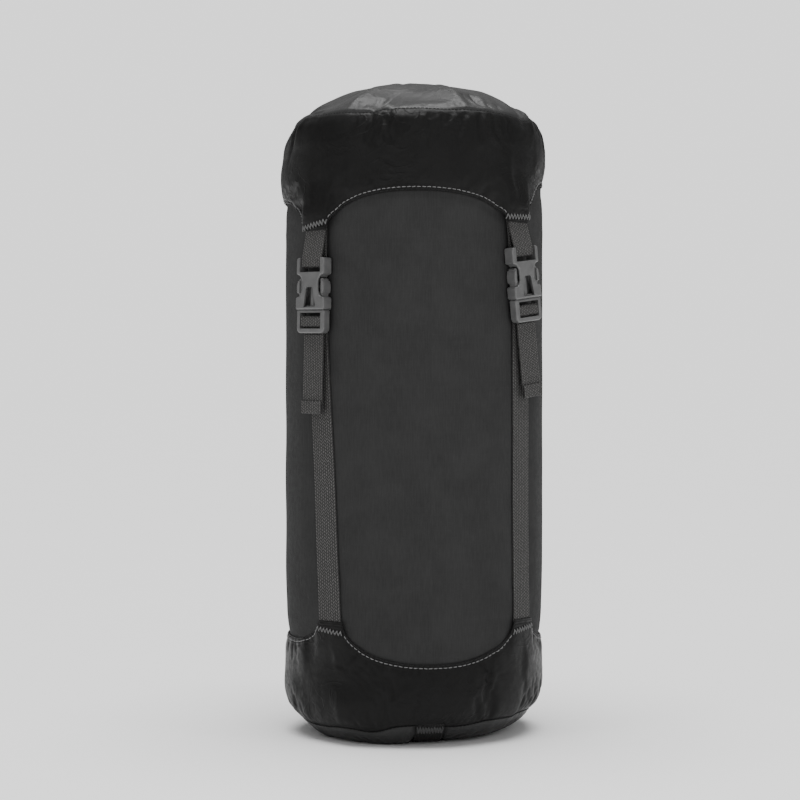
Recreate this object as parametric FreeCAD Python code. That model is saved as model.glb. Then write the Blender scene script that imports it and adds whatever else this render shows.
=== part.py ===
"""A stuffed compression sack: a tube on a scalloped base cup, under a lid that four straps pull down.

Millimetres and degrees. +Z is up, the origin is on the floor under the middle of the base, and the
front faces -Y. Every strap station is built facing the front and then turned about Z into place. In
such a station's own terms, "across" runs along X, "out" is the distance from the sack's axis (towards
-Y), and "up" is Z.
"""
import FreeCAD, Part
import os
from math import asin, cos, degrees, hypot, radians, sin, sqrt, tan

V = FreeCAD.Vector
UP = V(0, 0, 1)
TINY = 0.01

# Fabric shells
FABRIC = 1.2                # wall of every fabric panel
TUBE_RADIUS = 93.2          # outer radius of the body tube
TUBE_BOTTOM = 39.0
TUBE_TOP = 408.0
CUP_RADIUS = TUBE_RADIUS + FABRIC
CORNER_RADIUS = 38.0        # rounding between the base and the wall
BASE_SEAM = 15.0            # height of the seam between base disc and base cup
LID_RADIUS = 96.2           # outer radius of the lid's skirt
LID_BEND = 424.0            # the skirt is straight up to here
LID_SEAM = 445.0            # height of the seam between skirt and lid disc
LID_SEAM_RADIUS = 93.0
TOTAL_HEIGHT = 473.0

# Scallops: the edges of cup and skirt are half ellipses between the strap tabs
TAB_HALF_ANGLE = 7.5
LID_ARCH_TOPS = {"front": 386.5, "right": 399.0, "back": 391.0, "left": 386.0}
BASE_ARCH_LOWS = {"front": 58.0, "right": 66.0, "back": 60.0, "left": 66.0}
SIDE_ANGLES = {"front": 0.0, "right": 90.0, "back": 180.0, "left": 270.0}

# Strap stations: angle from the front, height of the buckle's lower end and of the lid's tab, length of
# the hanging tail, and how far the buckle's lower end leans towards larger angles
STRAP_ANGLE = 46.0          # the front straps are this far to each side of the front
STATIONS = {
    "front_left": {"angle": -STRAP_ANGLE, "lock": 289.0, "lid_tab": 361.0, "tail": 57.0, "lean": -1.5},
    "front_right": {"angle": STRAP_ANGLE, "lock": 297.0, "lid_tab": 367.0, "tail": 54.0, "lean": 7.5},
    "back_right": {"angle": 180 - STRAP_ANGLE, "lock": 293.0, "lid_tab": 364.0, "tail": 56.0, "lean": 3.0},
    "back_left": {"angle": STRAP_ANGLE - 180, "lock": 293.0, "lid_tab": 364.0, "tail": 56.0, "lean": 4.0},
}
LID_TURN = -6.0             # the lid and the base sit turned a little, so the straps lean
BASE_TURN = 0.5
BASE_TAB_TOP = 88.0
BASE_TAB_HEIGHT = 20.0
BASE_TAB_DEPTH = 2.6
LID_TAB_HEIGHT = 14.0
TACK_HEIGHT = 0.4           # how far a bar of stitches stands out

# Webbing
WEB_WIDTH = 20.0
WEB = 1.3
WEB_SLOT = WEB_WIDTH + 1.2
LOWER_STRAP_OUT = 95.2      # distance of the lower strap's middle from the axis
TAIL_OUT = 98.3
TAIL_DROP = 1.25            # the tail swings about an axis this far under the buckle
HEM_LENGTH = 10.0
LID_TAB_DEPTH = 2 * WEB + 1.5

# Buckle, with heights counted from its lower end
BUCKLE_OUT = 99.25          # distance of the buckle's middle plane from the axis
SOCKET_HALF_DEPTH = 4.2
SOCKET_HALF_WIDTH = 14.5
SOCKET_BOTTOM = 16.6
SOCKET_TOP = 53.0
CAVITY_HALF_WIDTH = 12.9
CAVITY_HALF_DEPTH = 2.8
CAVITY_TOP = 39.6
NECK_HALF_WIDTH = 8.2
LUG_HALF_WIDTH = 14.0
LOOP_SLOT = (42.9, 47.5)    # bottom and top of the slot for the strap loop
LOOP_BAR_TOP = 51.0
LOOP_BAR_HALF_DEPTH = 1.55
FRAME_HALF_DEPTH = 3.15
FRAME_HALF_WIDTH = 14.0
FRAME_TOP = 16.4
FRAME_WINDOW = (3.2, 14.4)
CENTRE_BAR = (7.0, 11.0)
CENTRE_BAR_HALF_DEPTH = 1.65
END_BAR_BACK = 99.4
PRONG_PIVOT = (11.45, 20.6)  # across and up, from the buckle's lower end
PRONG_ROOT_RADIUS = 1.05
PRONG_HALF_DEPTH = 2.5
BUTTON_HALF_DEPTH = 3.9

# Gathered mouth under the lid
COLLAR_RADIUS = TUBE_RADIUS - FABRIC - 0.5
COLLAR_BOTTOM = 392.0
NECK_RADIUS = 31.0
NECK_HEIGHT = 448.0
HEM_TOP = 461.0

# Grab handle across the base
HANDLE_GAP = 0.1            # height of the webbing above the floor
HANDLE_CLEARANCE = 0.2


def point(across, out, up):
    """A point of a strap station that faces the front."""
    return V(across, -out, up)


def turned(shape, angle):
    """The shape turned about the sack's axis from the front to an angle, positive towards +X."""
    copy = shape.copy()
    copy.rotate(V(0, 0, 0), UP, angle)
    return copy


def leaning(shape, tab, lean):
    """The shape swung sideways about the middle of the lid's tab, so its lower end leans."""
    copy = shape.copy()
    copy.rotate(point(0, BUCKLE_OUT, tab + LID_TAB_HEIGHT / 2), V(0, 1, 0), -lean)
    return copy


def lean_angle(height, tab, lean):
    """How far a leaning strap has moved round the sack at a height, in degrees."""
    return degrees((tab + LID_TAB_HEIGHT / 2 - height) * tan(radians(lean)) / BUCKLE_OUT)


def box(across, out, up):
    """A box in station terms from three (low, high) pairs."""
    size = [high - low for low, high in (across, out, up)]
    return Part.makeBox(*size, point(across[0], out[1], up[0]))


def revolved(edges):
    """The solid made by turning a closed outline in the XZ plane about Z."""
    return Part.Face(Part.Wire(edges)).revolve(V(0, 0, 0), UP, 360)


def flat(radius, height):
    return V(radius, 0, height)


def base_solid(inset):
    """The sack's lower half as a filled pot, its surface moved inwards by inset."""
    radius, corner = CUP_RADIUS - inset, CORNER_RADIUS - inset
    centre = flat(CUP_RADIUS - CORNER_RADIUS, CORNER_RADIUS)
    low, high = centre - UP * corner, centre + V(corner, 0, 0)
    middle = centre + V(sin(radians(45)), 0, -cos(radians(45))) * corner
    top = TUBE_TOP / 2
    return revolved([
        Part.LineSegment(flat(0, inset), low).toShape(),
        Part.Arc(low, middle, high).toShape(),
        Part.LineSegment(high, flat(radius, top)).toShape(),
        Part.LineSegment(flat(radius, top), flat(0, top)).toShape(),
        Part.LineSegment(flat(0, top), flat(0, inset)).toShape(),
    ])


def lid_solid(inset):
    """The lid as a filled dome, its surface moved inwards by inset."""
    rise = TOTAL_HEIGHT - LID_SEAM
    dome_radius = (LID_SEAM_RADIUS ** 2 + rise ** 2) / (2 * rise)
    dome_centre = TOTAL_HEIGHT - dome_radius
    radius = LID_RADIUS - inset
    seam_radius = LID_SEAM_RADIUS - inset

    def dome_height(r):
        return dome_centre + sqrt((dome_radius - inset) ** 2 - r ** 2)

    bend, seam = flat(radius, LID_BEND), flat(seam_radius, dome_height(seam_radius))
    shoulder = (bend + seam) * 0.5 + V(0.9, 0, 0)
    apex = flat(0, dome_height(0))
    bottom = min(s["lid_tab"] for s in STATIONS.values()) - 5
    return revolved([
        Part.LineSegment(flat(0, bottom), flat(radius, bottom)).toShape(),
        Part.LineSegment(flat(radius, bottom), bend).toShape(),
        Part.Arc(bend, shoulder, seam).toShape(),
        Part.Arc(seam, flat(seam_radius / 2, dome_height(seam_radius / 2)), apex).toShape(),
        Part.LineSegment(apex, flat(0, bottom)).toShape(),
    ])


def slab(low, high):
    """A wide flat block between two heights, for cutting a shell at a seam."""
    half = 2 * LID_RADIUS
    return Part.makeBox(2 * half, 2 * half, high - low, V(-half, -half, low))


def handle_band(outer, inner, width, end):
    """A band across the base, between two radii about the corner's centre, its ends cut off at a height."""
    centre_out, centre_up = CUP_RADIUS - CORNER_RADIUS, CORNER_RADIUS
    lean = asin((CORNER_RADIUS - end) / inner)

    def at(side, radius, angle):
        return V(-width / 2, side * (centre_out + radius * cos(angle)), centre_up - radius * sin(angle))

    def arc(side, radius, start, end):
        return Part.Arc(at(side, radius, start), at(side, radius, (start + end) / 2), at(side, radius, end))

    down = radians(90)
    edges = [
        arc(-1, outer, lean, down),
        Part.LineSegment(at(-1, outer, down), at(1, outer, down)),
        arc(1, outer, down, lean),
        Part.LineSegment(at(1, outer, lean), at(1, inner, lean)),
        arc(1, inner, lean, down),
        Part.LineSegment(at(1, inner, down), at(-1, inner, down)),
        arc(-1, inner, down, lean),
        Part.LineSegment(at(-1, inner, lean), at(-1, outer, lean)),
    ]
    return Part.Face(Part.Wire([e.toShape() for e in edges])).extrude(V(width, 0, 0))


def arch(side, centre_height, end_height, radius):
    """The block that cuts one scallop: a half ellipse to end_height, and all beyond its flat side."""
    between = STRAP_ANGLE if side in ("front", "back") else 90 - STRAP_ANGLE
    half = radius * sin(radians(between - TAB_HALF_ANGLE))
    rise = end_height - centre_height
    away = centre_height - (40 if rise > 0 else -40)
    left, right = point(-half, 0, centre_height), point(half, 0, centre_height)
    if abs(rise) > half:
        raise ValueError("a scallop must be wider than it is high")
    curve = Part.Arc(Part.Ellipse(V(0, 0, centre_height), half, abs(rise)), 0, radians(180)).toShape()
    curve.rotate(V(0, 0, centre_height), V(1, 0, 0), 90 if rise > 0 else -90)
    wall = [
        Part.LineSegment(left, point(-half, 0, away)).toShape(),
        Part.LineSegment(point(-half, 0, away), point(half, 0, away)).toShape(),
        Part.LineSegment(point(half, 0, away), right).toShape(),
    ]
    face = Part.Face(Part.Wire(Part.__sortEdges__([curve, *wall])))
    return turned(face.extrude(V(0, -2 * radius, 0)), SIDE_ANGLES[side])


def ribbon(path, bends, width=WEB_WIDTH):
    """Webbing along a path of (out, up) points, with one bend radius for each inner point."""
    points = [V(out, up, 0) for out, up in path]
    left, right = [], []
    previous = {1: None, -1: None}

    def offset(at, direction, side):
        return at + V(-direction.y, direction.x, 0) * (side * WEB / 2)

    def line(side, end):
        sides = left if side > 0 else right
        if (end - previous[side]).Length > TINY:
            sides.append(Part.LineSegment(previous[side], end).toShape())
        previous[side] = end

    first = (points[1] - points[0]).normalize()
    for side in (1, -1):
        previous[side] = offset(points[0], first, side)
    start = dict(previous)
    for before, corner, after, radius in zip(points, points[1:], points[2:], bends):
        enter, leave = (corner - before).normalize(), (after - corner).normalize()
        turn = enter.getAngle(leave)
        inward = V(-enter.y, enter.x, 0) * (1 if enter.cross(leave).z > 0 else -1)
        begin = corner - enter * (radius * tan(turn / 2))
        centre = begin + inward * radius
        finish = corner + leave * (radius * tan(turn / 2))
        for side in (1, -1):
            begin_side, finish_side = offset(begin, enter, side), offset(finish, leave, side)
            middle = (begin_side - centre).normalize() + (finish_side - centre).normalize()
            middle = centre + middle.normalize() * (begin_side - centre).Length
            line(side, begin_side)
            arc = Part.Arc(begin_side, middle, finish_side).toShape()
            (left if side > 0 else right).append(arc)
            previous[side] = finish_side
    last = (points[-1] - points[-2]).normalize()
    for side in (1, -1):
        line(side, offset(points[-1], last, side))
    caps = [Part.LineSegment(start[1], start[-1]).toShape(),
            Part.LineSegment(previous[1], previous[-1]).toShape()]
    face = Part.Face(Part.Wire(Part.__sortEdges__([*left, *right, *caps])))
    solid = face.extrude(V(0, 0, width))
    # From (out, up, across) to the station's own X, Y, Z.
    solid.transformShape(FreeCAD.Matrix(0, 0, 1, -width / 2, -1, 0, 0, 0, 0, 1, 0, 0, 0, 0, 0, 1))
    return solid


def sector(inner, outer, low, high, half=TAB_HALF_ANGLE):
    """A patch of a ring, as wide as a strap tab if no half angle is given."""
    ring = Part.makeCylinder(outer, high - low, V(0, 0, low), UP, 2 * half)
    ring = ring.cut(Part.makeCylinder(inner, high - low, V(0, 0, low), UP, 360))
    return turned(ring, -90 - half)


def symmetric_plate(corners, depth, rounding):
    """A plate in the buckle's plane from its right-hand corners (across, up, radius), rounded."""
    right = [(x, z) for x, z, _ in corners]
    outline = [*right, *[(-x, z) for x, z in reversed(right)], right[0]]
    face = Part.Face(Part.makePolygon([point(x, BUCKLE_OUT + depth, z) for x, z in outline]))
    plate = face.extrude(V(0, 2 * depth, 0))
    for x, z, radius in corners:
        def at_corner(edge):
            middle = edge.CenterOfMass
            return edge.BoundBox.YLength > depth and hypot(abs(middle.x) - x, middle.z - z) < TINY
        plate = rounded(plate, radius, at_corner)
    return rounded(plate, rounding, lambda e: e.BoundBox.YLength < TINY)


def rounded(solid, radius, chosen):
    edges = [e for e in solid.Edges if chosen(e)]
    return solid.makeFillet(radius, edges)


# The buckle, facing the front with its lower end at height 0


def buckle_socket():
    """The half that hangs on the lid: a collar, a neck of two plates, and lugs with the loop's bar."""
    corners = [
        (SOCKET_HALF_WIDTH, SOCKET_BOTTOM, 1.3),
        (SOCKET_HALF_WIDTH, 25.0, 1.3),
        (10.0, 26.1, 3.0),
        (NECK_HALF_WIDTH, 30.0, 2.5),
        (NECK_HALF_WIDTH, 37.5, 3.0),
        (10.8, 40.6, 2.0),
        (LUG_HALF_WIDTH, 41.4, 1.5),
        (LUG_HALF_WIDTH, SOCKET_TOP, 1.9),
    ]
    body = symmetric_plate(corners, SOCKET_HALF_DEPTH, 1.1)
    middle = (BUCKLE_OUT - CAVITY_HALF_DEPTH, BUCKLE_OUT + CAVITY_HALF_DEPTH)
    through = (BUCKLE_OUT - 10, BUCKLE_OUT + 10)
    across = (-WEB_SLOT / 2, WEB_SLOT / 2)
    cuts = [
        box((-CAVITY_HALF_WIDTH, CAVITY_HALF_WIDTH), middle, (SOCKET_BOTTOM - 1, CAVITY_TOP)),
        box(across, through, LOOP_SLOT),
        box(across, through, (LOOP_BAR_TOP, SOCKET_TOP + 1)),
        box(across, (BUCKLE_OUT + LOOP_BAR_HALF_DEPTH, BUCKLE_OUT + 10), (LOOP_SLOT[1] - TINY, SOCKET_TOP)),
        box(across, (BUCKLE_OUT - 10, BUCKLE_OUT - LOOP_BAR_HALF_DEPTH), (LOOP_SLOT[1] - TINY, SOCKET_TOP)),
        front_window(),
    ]
    for cut in cuts:
        body = body.cut(cut)

    def bar_corner(edge):
        middle = edge.CenterOfMass
        depth = abs(-middle.y - BUCKLE_OUT)
        at_height = min(abs(middle.z - LOOP_SLOT[1]), abs(middle.z - LOOP_BAR_TOP)) < TINY
        return edge.BoundBox.XLength > WEB_WIDTH and abs(depth - LOOP_BAR_HALF_DEPTH) < TINY and at_height
    return rounded(body, 1.0, bar_corner)


def front_window():
    """The tapered window through the socket's two plates."""
    corners = [(-6.0, 18.2), (6.0, 18.2), (3.6, 31.4), (2.8, 32.4), (-2.8, 32.4), (-3.6, 31.4), (-6.0, 18.2)]
    face = Part.Face(Part.makePolygon([point(x, BUCKLE_OUT - 10, z) for x, z in corners]))
    return face.extrude(V(0, -20, 0))


def buckle_frame():
    """The half on the strap: a ladder frame with two bars, a block in the socket, and a guide pin."""
    corners = [(FRAME_HALF_WIDTH, 0, 3.6), (FRAME_HALF_WIDTH, FRAME_TOP, 1.2)]
    frame = symmetric_plate(corners, FRAME_HALF_DEPTH, 1.0)
    across = (-WEB_SLOT / 2, WEB_SLOT / 2)
    through = (BUCKLE_OUT - 10, BUCKLE_OUT + 10)
    frame = frame.cut(box(across, through, FRAME_WINDOW))
    frame = frame.cut(box(across, (BUCKLE_OUT - 10, END_BAR_BACK), (-1, FRAME_WINDOW[0] + TINY)))
    bar_out = (BUCKLE_OUT - CENTRE_BAR_HALF_DEPTH, BUCKLE_OUT + CENTRE_BAR_HALF_DEPTH)
    bar = box((-WEB_SLOT / 2 - 1, WEB_SLOT / 2 + 1), bar_out, CENTRE_BAR)
    bar = rounded(bar, 0.9, lambda e: e.BoundBox.XLength > WEB_WIDTH)
    block_out = (BUCKLE_OUT - CAVITY_HALF_DEPTH + 0.2, BUCKLE_OUT + CAVITY_HALF_DEPTH - 0.2)
    block = box((-12.6, 12.6), block_out, (FRAME_TOP - 1, PRONG_PIVOT[1] - PRONG_ROOT_RADIUS - 0.35))
    pin = box((-1.6, 1.6), (BUCKLE_OUT - 1.3, BUCKLE_OUT + 1.3), (FRAME_TOP, 34.0))
    pin = rounded(pin, 0.8, lambda e: e.BoundBox.ZMin > 33.9)
    return frame.fuse([bar, block, pin]).removeSplitter()


def prong(side):
    """One springy arm: a stem in the collar, a thick button in the side window, and a thin tip."""
    x, z = PRONG_PIVOT
    r = PRONG_ROOT_RADIUS
    steps = [
        (x + r, z),
        [(12.5, 27.0)],
        [(13.2, 28.2)],
        [(13.7, 32.2), (12.5, 36.9)],
        [(11.2, 38.5), (9.5, 36.9)],
        [(9.8, 27.0)],
        [(x - r, z)],
        [(x, z - r), (x + r, z)],
    ]
    edges, start = [], steps[0]
    for step in steps[1:]:
        ends = [V(start[0], 0, start[1]), V(step[-1][0], 0, step[-1][1])]
        if len(step) == 1:
            edges.append(Part.LineSegment(*ends).toShape())
        else:
            edges.append(Part.Arc(ends[0], V(step[0][0], 0, step[0][1]), ends[1]).toShape())
        start = step[-1]
    face = Part.Face(Part.Wire(edges))

    def layer(depth):
        copy = face.copy()
        copy.translate(V(0, -BUCKLE_OUT - depth, 0))
        return copy.extrude(V(0, 2 * depth, 0))

    window = box((11.1, 20), (BUCKLE_OUT - 10, BUCKLE_OUT + 10), (28.2, 36.7))
    button = layer(BUTTON_HALF_DEPTH).common(window)
    button = rounded(button, 0.6, lambda e: e.BoundBox.YLength < TINY)
    arm = layer(PRONG_HALF_DEPTH).fuse(button).removeSplitter()
    return arm if side > 0 else arm.mirror(V(0, 0, 0), V(1, 0, 0))


# Webbing at one station


def strap_wrap(lock):
    """The strap inside the ladder frame: up behind it, over the centre bar, and down behind the end bar."""
    top = lock + CENTRE_BAR[1] + WEB / 2 + 0.1
    front = BUCKLE_OUT + CENTRE_BAR_HALF_DEPTH + WEB / 2 + 0.1
    path = [(LOWER_STRAP_OUT, lock + 1), (LOWER_STRAP_OUT, top), (front, top), (front, lock + 5.7),
            (TAIL_OUT, lock + 3.6), (TAIL_OUT, lock + 0.6)]
    return ribbon(path, [1.6, 1.6, 1.2, 1.2])


def strap_loop(lock, tab):
    """The short webbing from the lid's tab round the socket's bar and back."""
    back = LID_RADIUS + 0.1 + WEB / 2
    under = lock + LOOP_SLOT[1] - WEB / 2 - 0.1
    front = BUCKLE_OUT + LOOP_BAR_HALF_DEPTH + WEB / 2 + 0.1
    doubled = back + WEB + 0.1
    top = tab + LID_TAB_HEIGHT - 2
    path = [(back, top), (back, under), (front, under), (front, lock + LOOP_BAR_TOP + 1),
            (doubled, tab - 2), (doubled, top)]
    return ribbon(path, [1.5, 1.5, 3.0, 3.0])


def lower_strap(lock, angle, top_angle):
    """The long webbing from the base tab to the frame, leaning from the base's angle to the lid's."""
    def section(turn, height):
        half, low, high = WEB_WIDTH / 2, LOWER_STRAP_OUT - WEB / 2, LOWER_STRAP_OUT + WEB / 2
        corners = [(-half, low), (half, low), (half, high), (-half, high), (-half, low)]
        return turned(Part.makePolygon([point(x, out, height) for x, out in corners]), turn)

    bottom = BASE_TAB_TOP - BASE_TAB_HEIGHT + 2
    return Part.makeLoft([section(angle + BASE_TURN, bottom), section(top_angle, lock - 0.6)], True, True)


def tail(lock, length):
    """The free end in front of the lower strap, from a round top that can swing, down to its hem."""
    out = (TAIL_OUT - WEB / 2, TAIL_OUT + WEB / 2)
    webbing = box((-WEB_WIDTH / 2, WEB_WIDTH / 2), out, (lock - length + HEM_LENGTH, lock - TAIL_DROP))
    end = point(-WEB_WIDTH / 2, TAIL_OUT, lock - TAIL_DROP)
    axle = Part.makeCylinder(WEB / 2, WEB_WIDTH, end, V(1, 0, 0))
    return webbing.fuse(axle).removeSplitter()


def tail_hem(lock, length):
    """The tail's folded and stitched end, which can't slip through the frame."""
    out = (TAIL_OUT - WEB / 2, TAIL_OUT + 3 * WEB / 2)
    hem = box((-WEB_WIDTH / 2, WEB_WIDTH / 2), out, (lock - length, lock - length + HEM_LENGTH))
    return rounded(hem, 0.8, lambda e: e.BoundBox.ZMax < lock - length + TINY and e.BoundBox.XLength > 1)


def base_tab():
    """The cup's tab over the strap's lower end, open towards the strap."""
    low = BASE_TAB_TOP - BASE_TAB_HEIGHT
    patch = sector(CUP_RADIUS, CUP_RADIUS + BASE_TAB_DEPTH, low, BASE_TAB_TOP)
    pocket_out = (CUP_RADIUS - 3, LOWER_STRAP_OUT + WEB / 2 + 0.3)
    half = WEB_WIDTH / 2 + 1.2
    return patch.cut(box((-half, half), pocket_out, (low + 1.5, BASE_TAB_TOP + 1)))


def lid_tab(tab):
    """The skirt's tab over the loop's two ends, open towards the buckle, and as roomy as the lean asks."""
    high = tab + LID_TAB_HEIGHT
    patch = sector(LID_RADIUS, LID_RADIUS + LID_TAB_DEPTH, tab, high)
    pocket_out = (LID_RADIUS - 3, LID_RADIUS + 2 * WEB + 0.3)
    half = WEB_WIDTH / 2 + 1.7
    return patch.cut(box((-half, half), pocket_out, (tab - 1, high - 0.8)))


def bartack(out, middle):
    """A dense row of stitches across a tab."""
    return sector(out, out + TACK_HEIGHT, middle - 1.3, middle + 1.3, TAB_HALF_ANGLE - 0.6)


# Fabric


def base_panels():
    """The base cup and base disc, with the disc's channel for the handle."""
    shell = base_solid(0).cut(base_solid(FABRIC))
    cup = shell.common(slab(BASE_SEAM, BASE_TAB_TOP - 2))
    mid = BASE_TAB_TOP - 4
    for side, low in BASE_ARCH_LOWS.items():
        cup = cup.cut(turned(arch(side, mid, low, CUP_RADIUS), BASE_TURN))
    width = WEB_SLOT + HANDLE_CLEARANCE
    channel = CORNER_RADIUS - HANDLE_GAP - WEB - HANDLE_CLEARANCE
    above = BASE_SEAM + 4
    outside = base_solid(0).cut(handle_band(CORNER_RADIUS + 5, channel, width, above))
    inner_width = width + 2 * FABRIC
    inside = base_solid(FABRIC).cut(handle_band(CORNER_RADIUS + 5, channel - FABRIC, inner_width, above))
    disc = outside.cut(inside).common(slab(-1, BASE_SEAM))
    strip = Part.makeCylinder(CUP_RADIUS, 8, V(0, 0, BASE_SEAM - 1)).cut(
        Part.makeCylinder(CUP_RADIUS - 9.5, 8, V(0, 0, BASE_SEAM - 1)))
    binding = strip.common(base_solid(FABRIC + 0.02)).cut(base_solid(FABRIC + 1.6))
    band = handle_band(CORNER_RADIUS + 5, channel - FABRIC - TINY, inner_width + TINY, above)
    return cup, disc, binding.cut(band)


def lid_panels():
    """The lid's skirt and disc, and the binding of the seam between them."""
    shell = lid_solid(0).cut(lid_solid(FABRIC))
    skirt = shell.common(slab(LID_SEAM - 110, LID_SEAM))
    names = {"front": ("front_left", "front_right"), "right": ("front_right", "back_right"),
             "back": ("back_right", "back_left"), "left": ("back_left", "front_left")}
    for side, top in LID_ARCH_TOPS.items():
        ends = [STATIONS[n]["lid_tab"] for n in names[side]]
        skirt = skirt.cut(turned(arch(side, sum(ends) / 2, top, LID_RADIUS), LID_TURN))
    for station in STATIONS.values():
        below = box((-30, 30), (60, 120), (station["lid_tab"] - 40, station["lid_tab"]))
        skirt = skirt.cut(turned(below, station["angle"] + LID_TURN))
    disc = shell.common(slab(LID_SEAM, TOTAL_HEIGHT + 5))
    strip = Part.makeCylinder(LID_RADIUS, 8, V(0, 0, LID_SEAM - 8)).cut(
        Part.makeCylinder(LID_SEAM_RADIUS - 6, 8, V(0, 0, LID_SEAM - 8)))
    binding = strip.common(lid_solid(FABRIC + 0.02)).cut(lid_solid(FABRIC + 1.6))
    return skirt, disc, binding


def body_tube():
    height = TUBE_TOP - TUBE_BOTTOM
    outside = Part.makeCylinder(TUBE_RADIUS, height, V(0, 0, TUBE_BOTTOM))
    return outside.cut(Part.makeCylinder(TUBE_RADIUS - FABRIC, height, V(0, 0, TUBE_BOTTOM)))


def mouth_panels():
    """The gathered collar, its folded hem with the cord channel, and the patch at the cord's exit."""
    def gathered(inset):
        radius, neck = COLLAR_RADIUS - inset, NECK_RADIUS - inset
        wall, shoulder = flat(radius, COLLAR_BOTTOM), flat(radius, TUBE_TOP)
        end = flat(neck, NECK_HEIGHT)
        lean = radians(50)
        rise = NECK_HEIGHT - TUBE_TOP
        middle = flat(neck + (radius - neck) * cos(lean), TUBE_TOP + (rise - inset) * sin(lean))
        return revolved([
            Part.LineSegment(flat(0, COLLAR_BOTTOM), wall).toShape(),
            Part.LineSegment(wall, shoulder).toShape(),
            Part.Arc(shoulder, middle, end).toShape(),
            Part.LineSegment(end, flat(0, NECK_HEIGHT)).toShape(),
            Part.LineSegment(flat(0, NECK_HEIGHT), flat(0, COLLAR_BOTTOM)).toShape(),
        ])

    def ring(inner, outer, low, high):
        tube = Part.makeCylinder(outer, high - low, V(0, 0, low))
        return tube.cut(Part.makeCylinder(inner, high - low, V(0, 0, low)))

    collar = gathered(0).cut(gathered(FABRIC))
    hem = ring(NECK_RADIUS - 4, NECK_RADIUS, NECK_HEIGHT, HEM_TOP)
    hem = hem.cut(ring(NECK_RADIUS - 3, NECK_RADIUS - 1, NECK_HEIGHT + 2, HEM_TOP - 2))
    exit_slot = box((-4, 4), (NECK_RADIUS - 2, NECK_RADIUS + 3), (NECK_HEIGHT + 5.5, NECK_HEIGHT + 7.5))
    patch = ring(NECK_RADIUS, NECK_RADIUS + 0.8, NECK_HEIGHT + 3, HEM_TOP - 3)
    patch = patch.common(box((-7, 7), (0, NECK_RADIUS + 5), (NECK_HEIGHT, HEM_TOP)))
    return collar, hem.cut(exit_slot), patch.cut(exit_slot)


def grab_handle():
    outer = CORNER_RADIUS - HANDLE_GAP
    return handle_band(outer, outer - WEB, WEB_WIDTH, BASE_SEAM - HANDLE_CLEARANCE)


def handle_bartacks():
    """The stitches that hold each end of the handle, just below the base seam."""
    lean = radians(42)
    radius = CORNER_RADIUS - HANDLE_GAP
    centre = V(0, -(CUP_RADIUS - CORNER_RADIUS), CORNER_RADIUS)
    bar = box((-9, 9), (0, 0.5), (-2.5, 2.5))
    bar.rotate(V(0, 0, 0), V(1, 0, 0), 42)
    bar.translate(centre + V(0, -cos(lean), -sin(lean)) * radius)
    return [bar, turned(bar, 180)]


def build():
    """Every node of the sack by name."""
    cup, disc, base_binding = base_panels()
    skirt, lid_disc, lid_binding = lid_panels()
    collar, hem, patch = mouth_panels()
    nodes = {
        "body_tube": body_tube(),
        "base_cup": cup,
        "base_disc": disc,
        "base_seam_binding": base_binding,
        "base_handle": grab_handle(),
        "handle_bartacks": Part.makeCompound(handle_bartacks()),
        "mouth_collar": collar,
        "mouth_hem": hem,
        "cord_exit_patch": patch,
        "lid_skirt": skirt,
        "lid_disc": lid_disc,
        "lid_seam_binding": lid_binding,
    }
    base_tacks, lid_tacks = [], []
    for name, s in STATIONS.items():
        angle, lock, tab = s["angle"], s["lock"], s["lid_tab"]
        height = V(0, 0, lock)
        local = {
            "strap_loop": strap_loop(lock, tab),
            "strap_wrap": strap_wrap(lock),
            "buckle_socket": buckle_socket().translated(height),
            "buckle_frame": buckle_frame().translated(height),
            "prong_left": prong(-1).translated(height),
            "prong_right": prong(1).translated(height),
            "tail": tail(lock, s["tail"]),
            "tail_hem": tail_hem(lock, s["tail"]),
        }
        for piece, shape in local.items():
            nodes[f"{piece}_{name}"] = turned(leaning(shape, tab, s["lean"]), angle + LID_TURN)
        top_angle = angle + LID_TURN + lean_angle(lock, tab, s["lean"])
        nodes[f"lower_strap_{name}"] = lower_strap(lock, angle, top_angle)
        nodes[f"lid_tab_{name}"] = turned(lid_tab(tab), angle + LID_TURN)
        nodes[f"base_tab_{name}"] = turned(base_tab(), angle + BASE_TURN)
        base_tacks.append(turned(bartack(CUP_RADIUS + BASE_TAB_DEPTH, BASE_TAB_TOP - 9), angle + BASE_TURN))
        lid_tacks.append(turned(bartack(LID_RADIUS + LID_TAB_DEPTH, tab + 5), angle + LID_TURN))
    nodes["base_bartacks"] = Part.makeCompound(base_tacks)
    nodes["lid_bartacks"] = Part.makeCompound(lid_tacks)
    return nodes


os.makedirs("parts", exist_ok=True)
for node, shape in build().items():
    solids = shape.Solids
    if not solids or not all(s.isValid() and s.Volume > 0 for s in solids):
        raise RuntimeError(f"{node} is not made of valid solids")
    shape = solids[0] if len(solids) == 1 else Part.makeCompound(solids)
    shape.exportStep(f"parts/{node}.step")
    print(f"{node:28s} {len(solids)} solid(s) {shape.Volume:10.1f} mm3")
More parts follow.
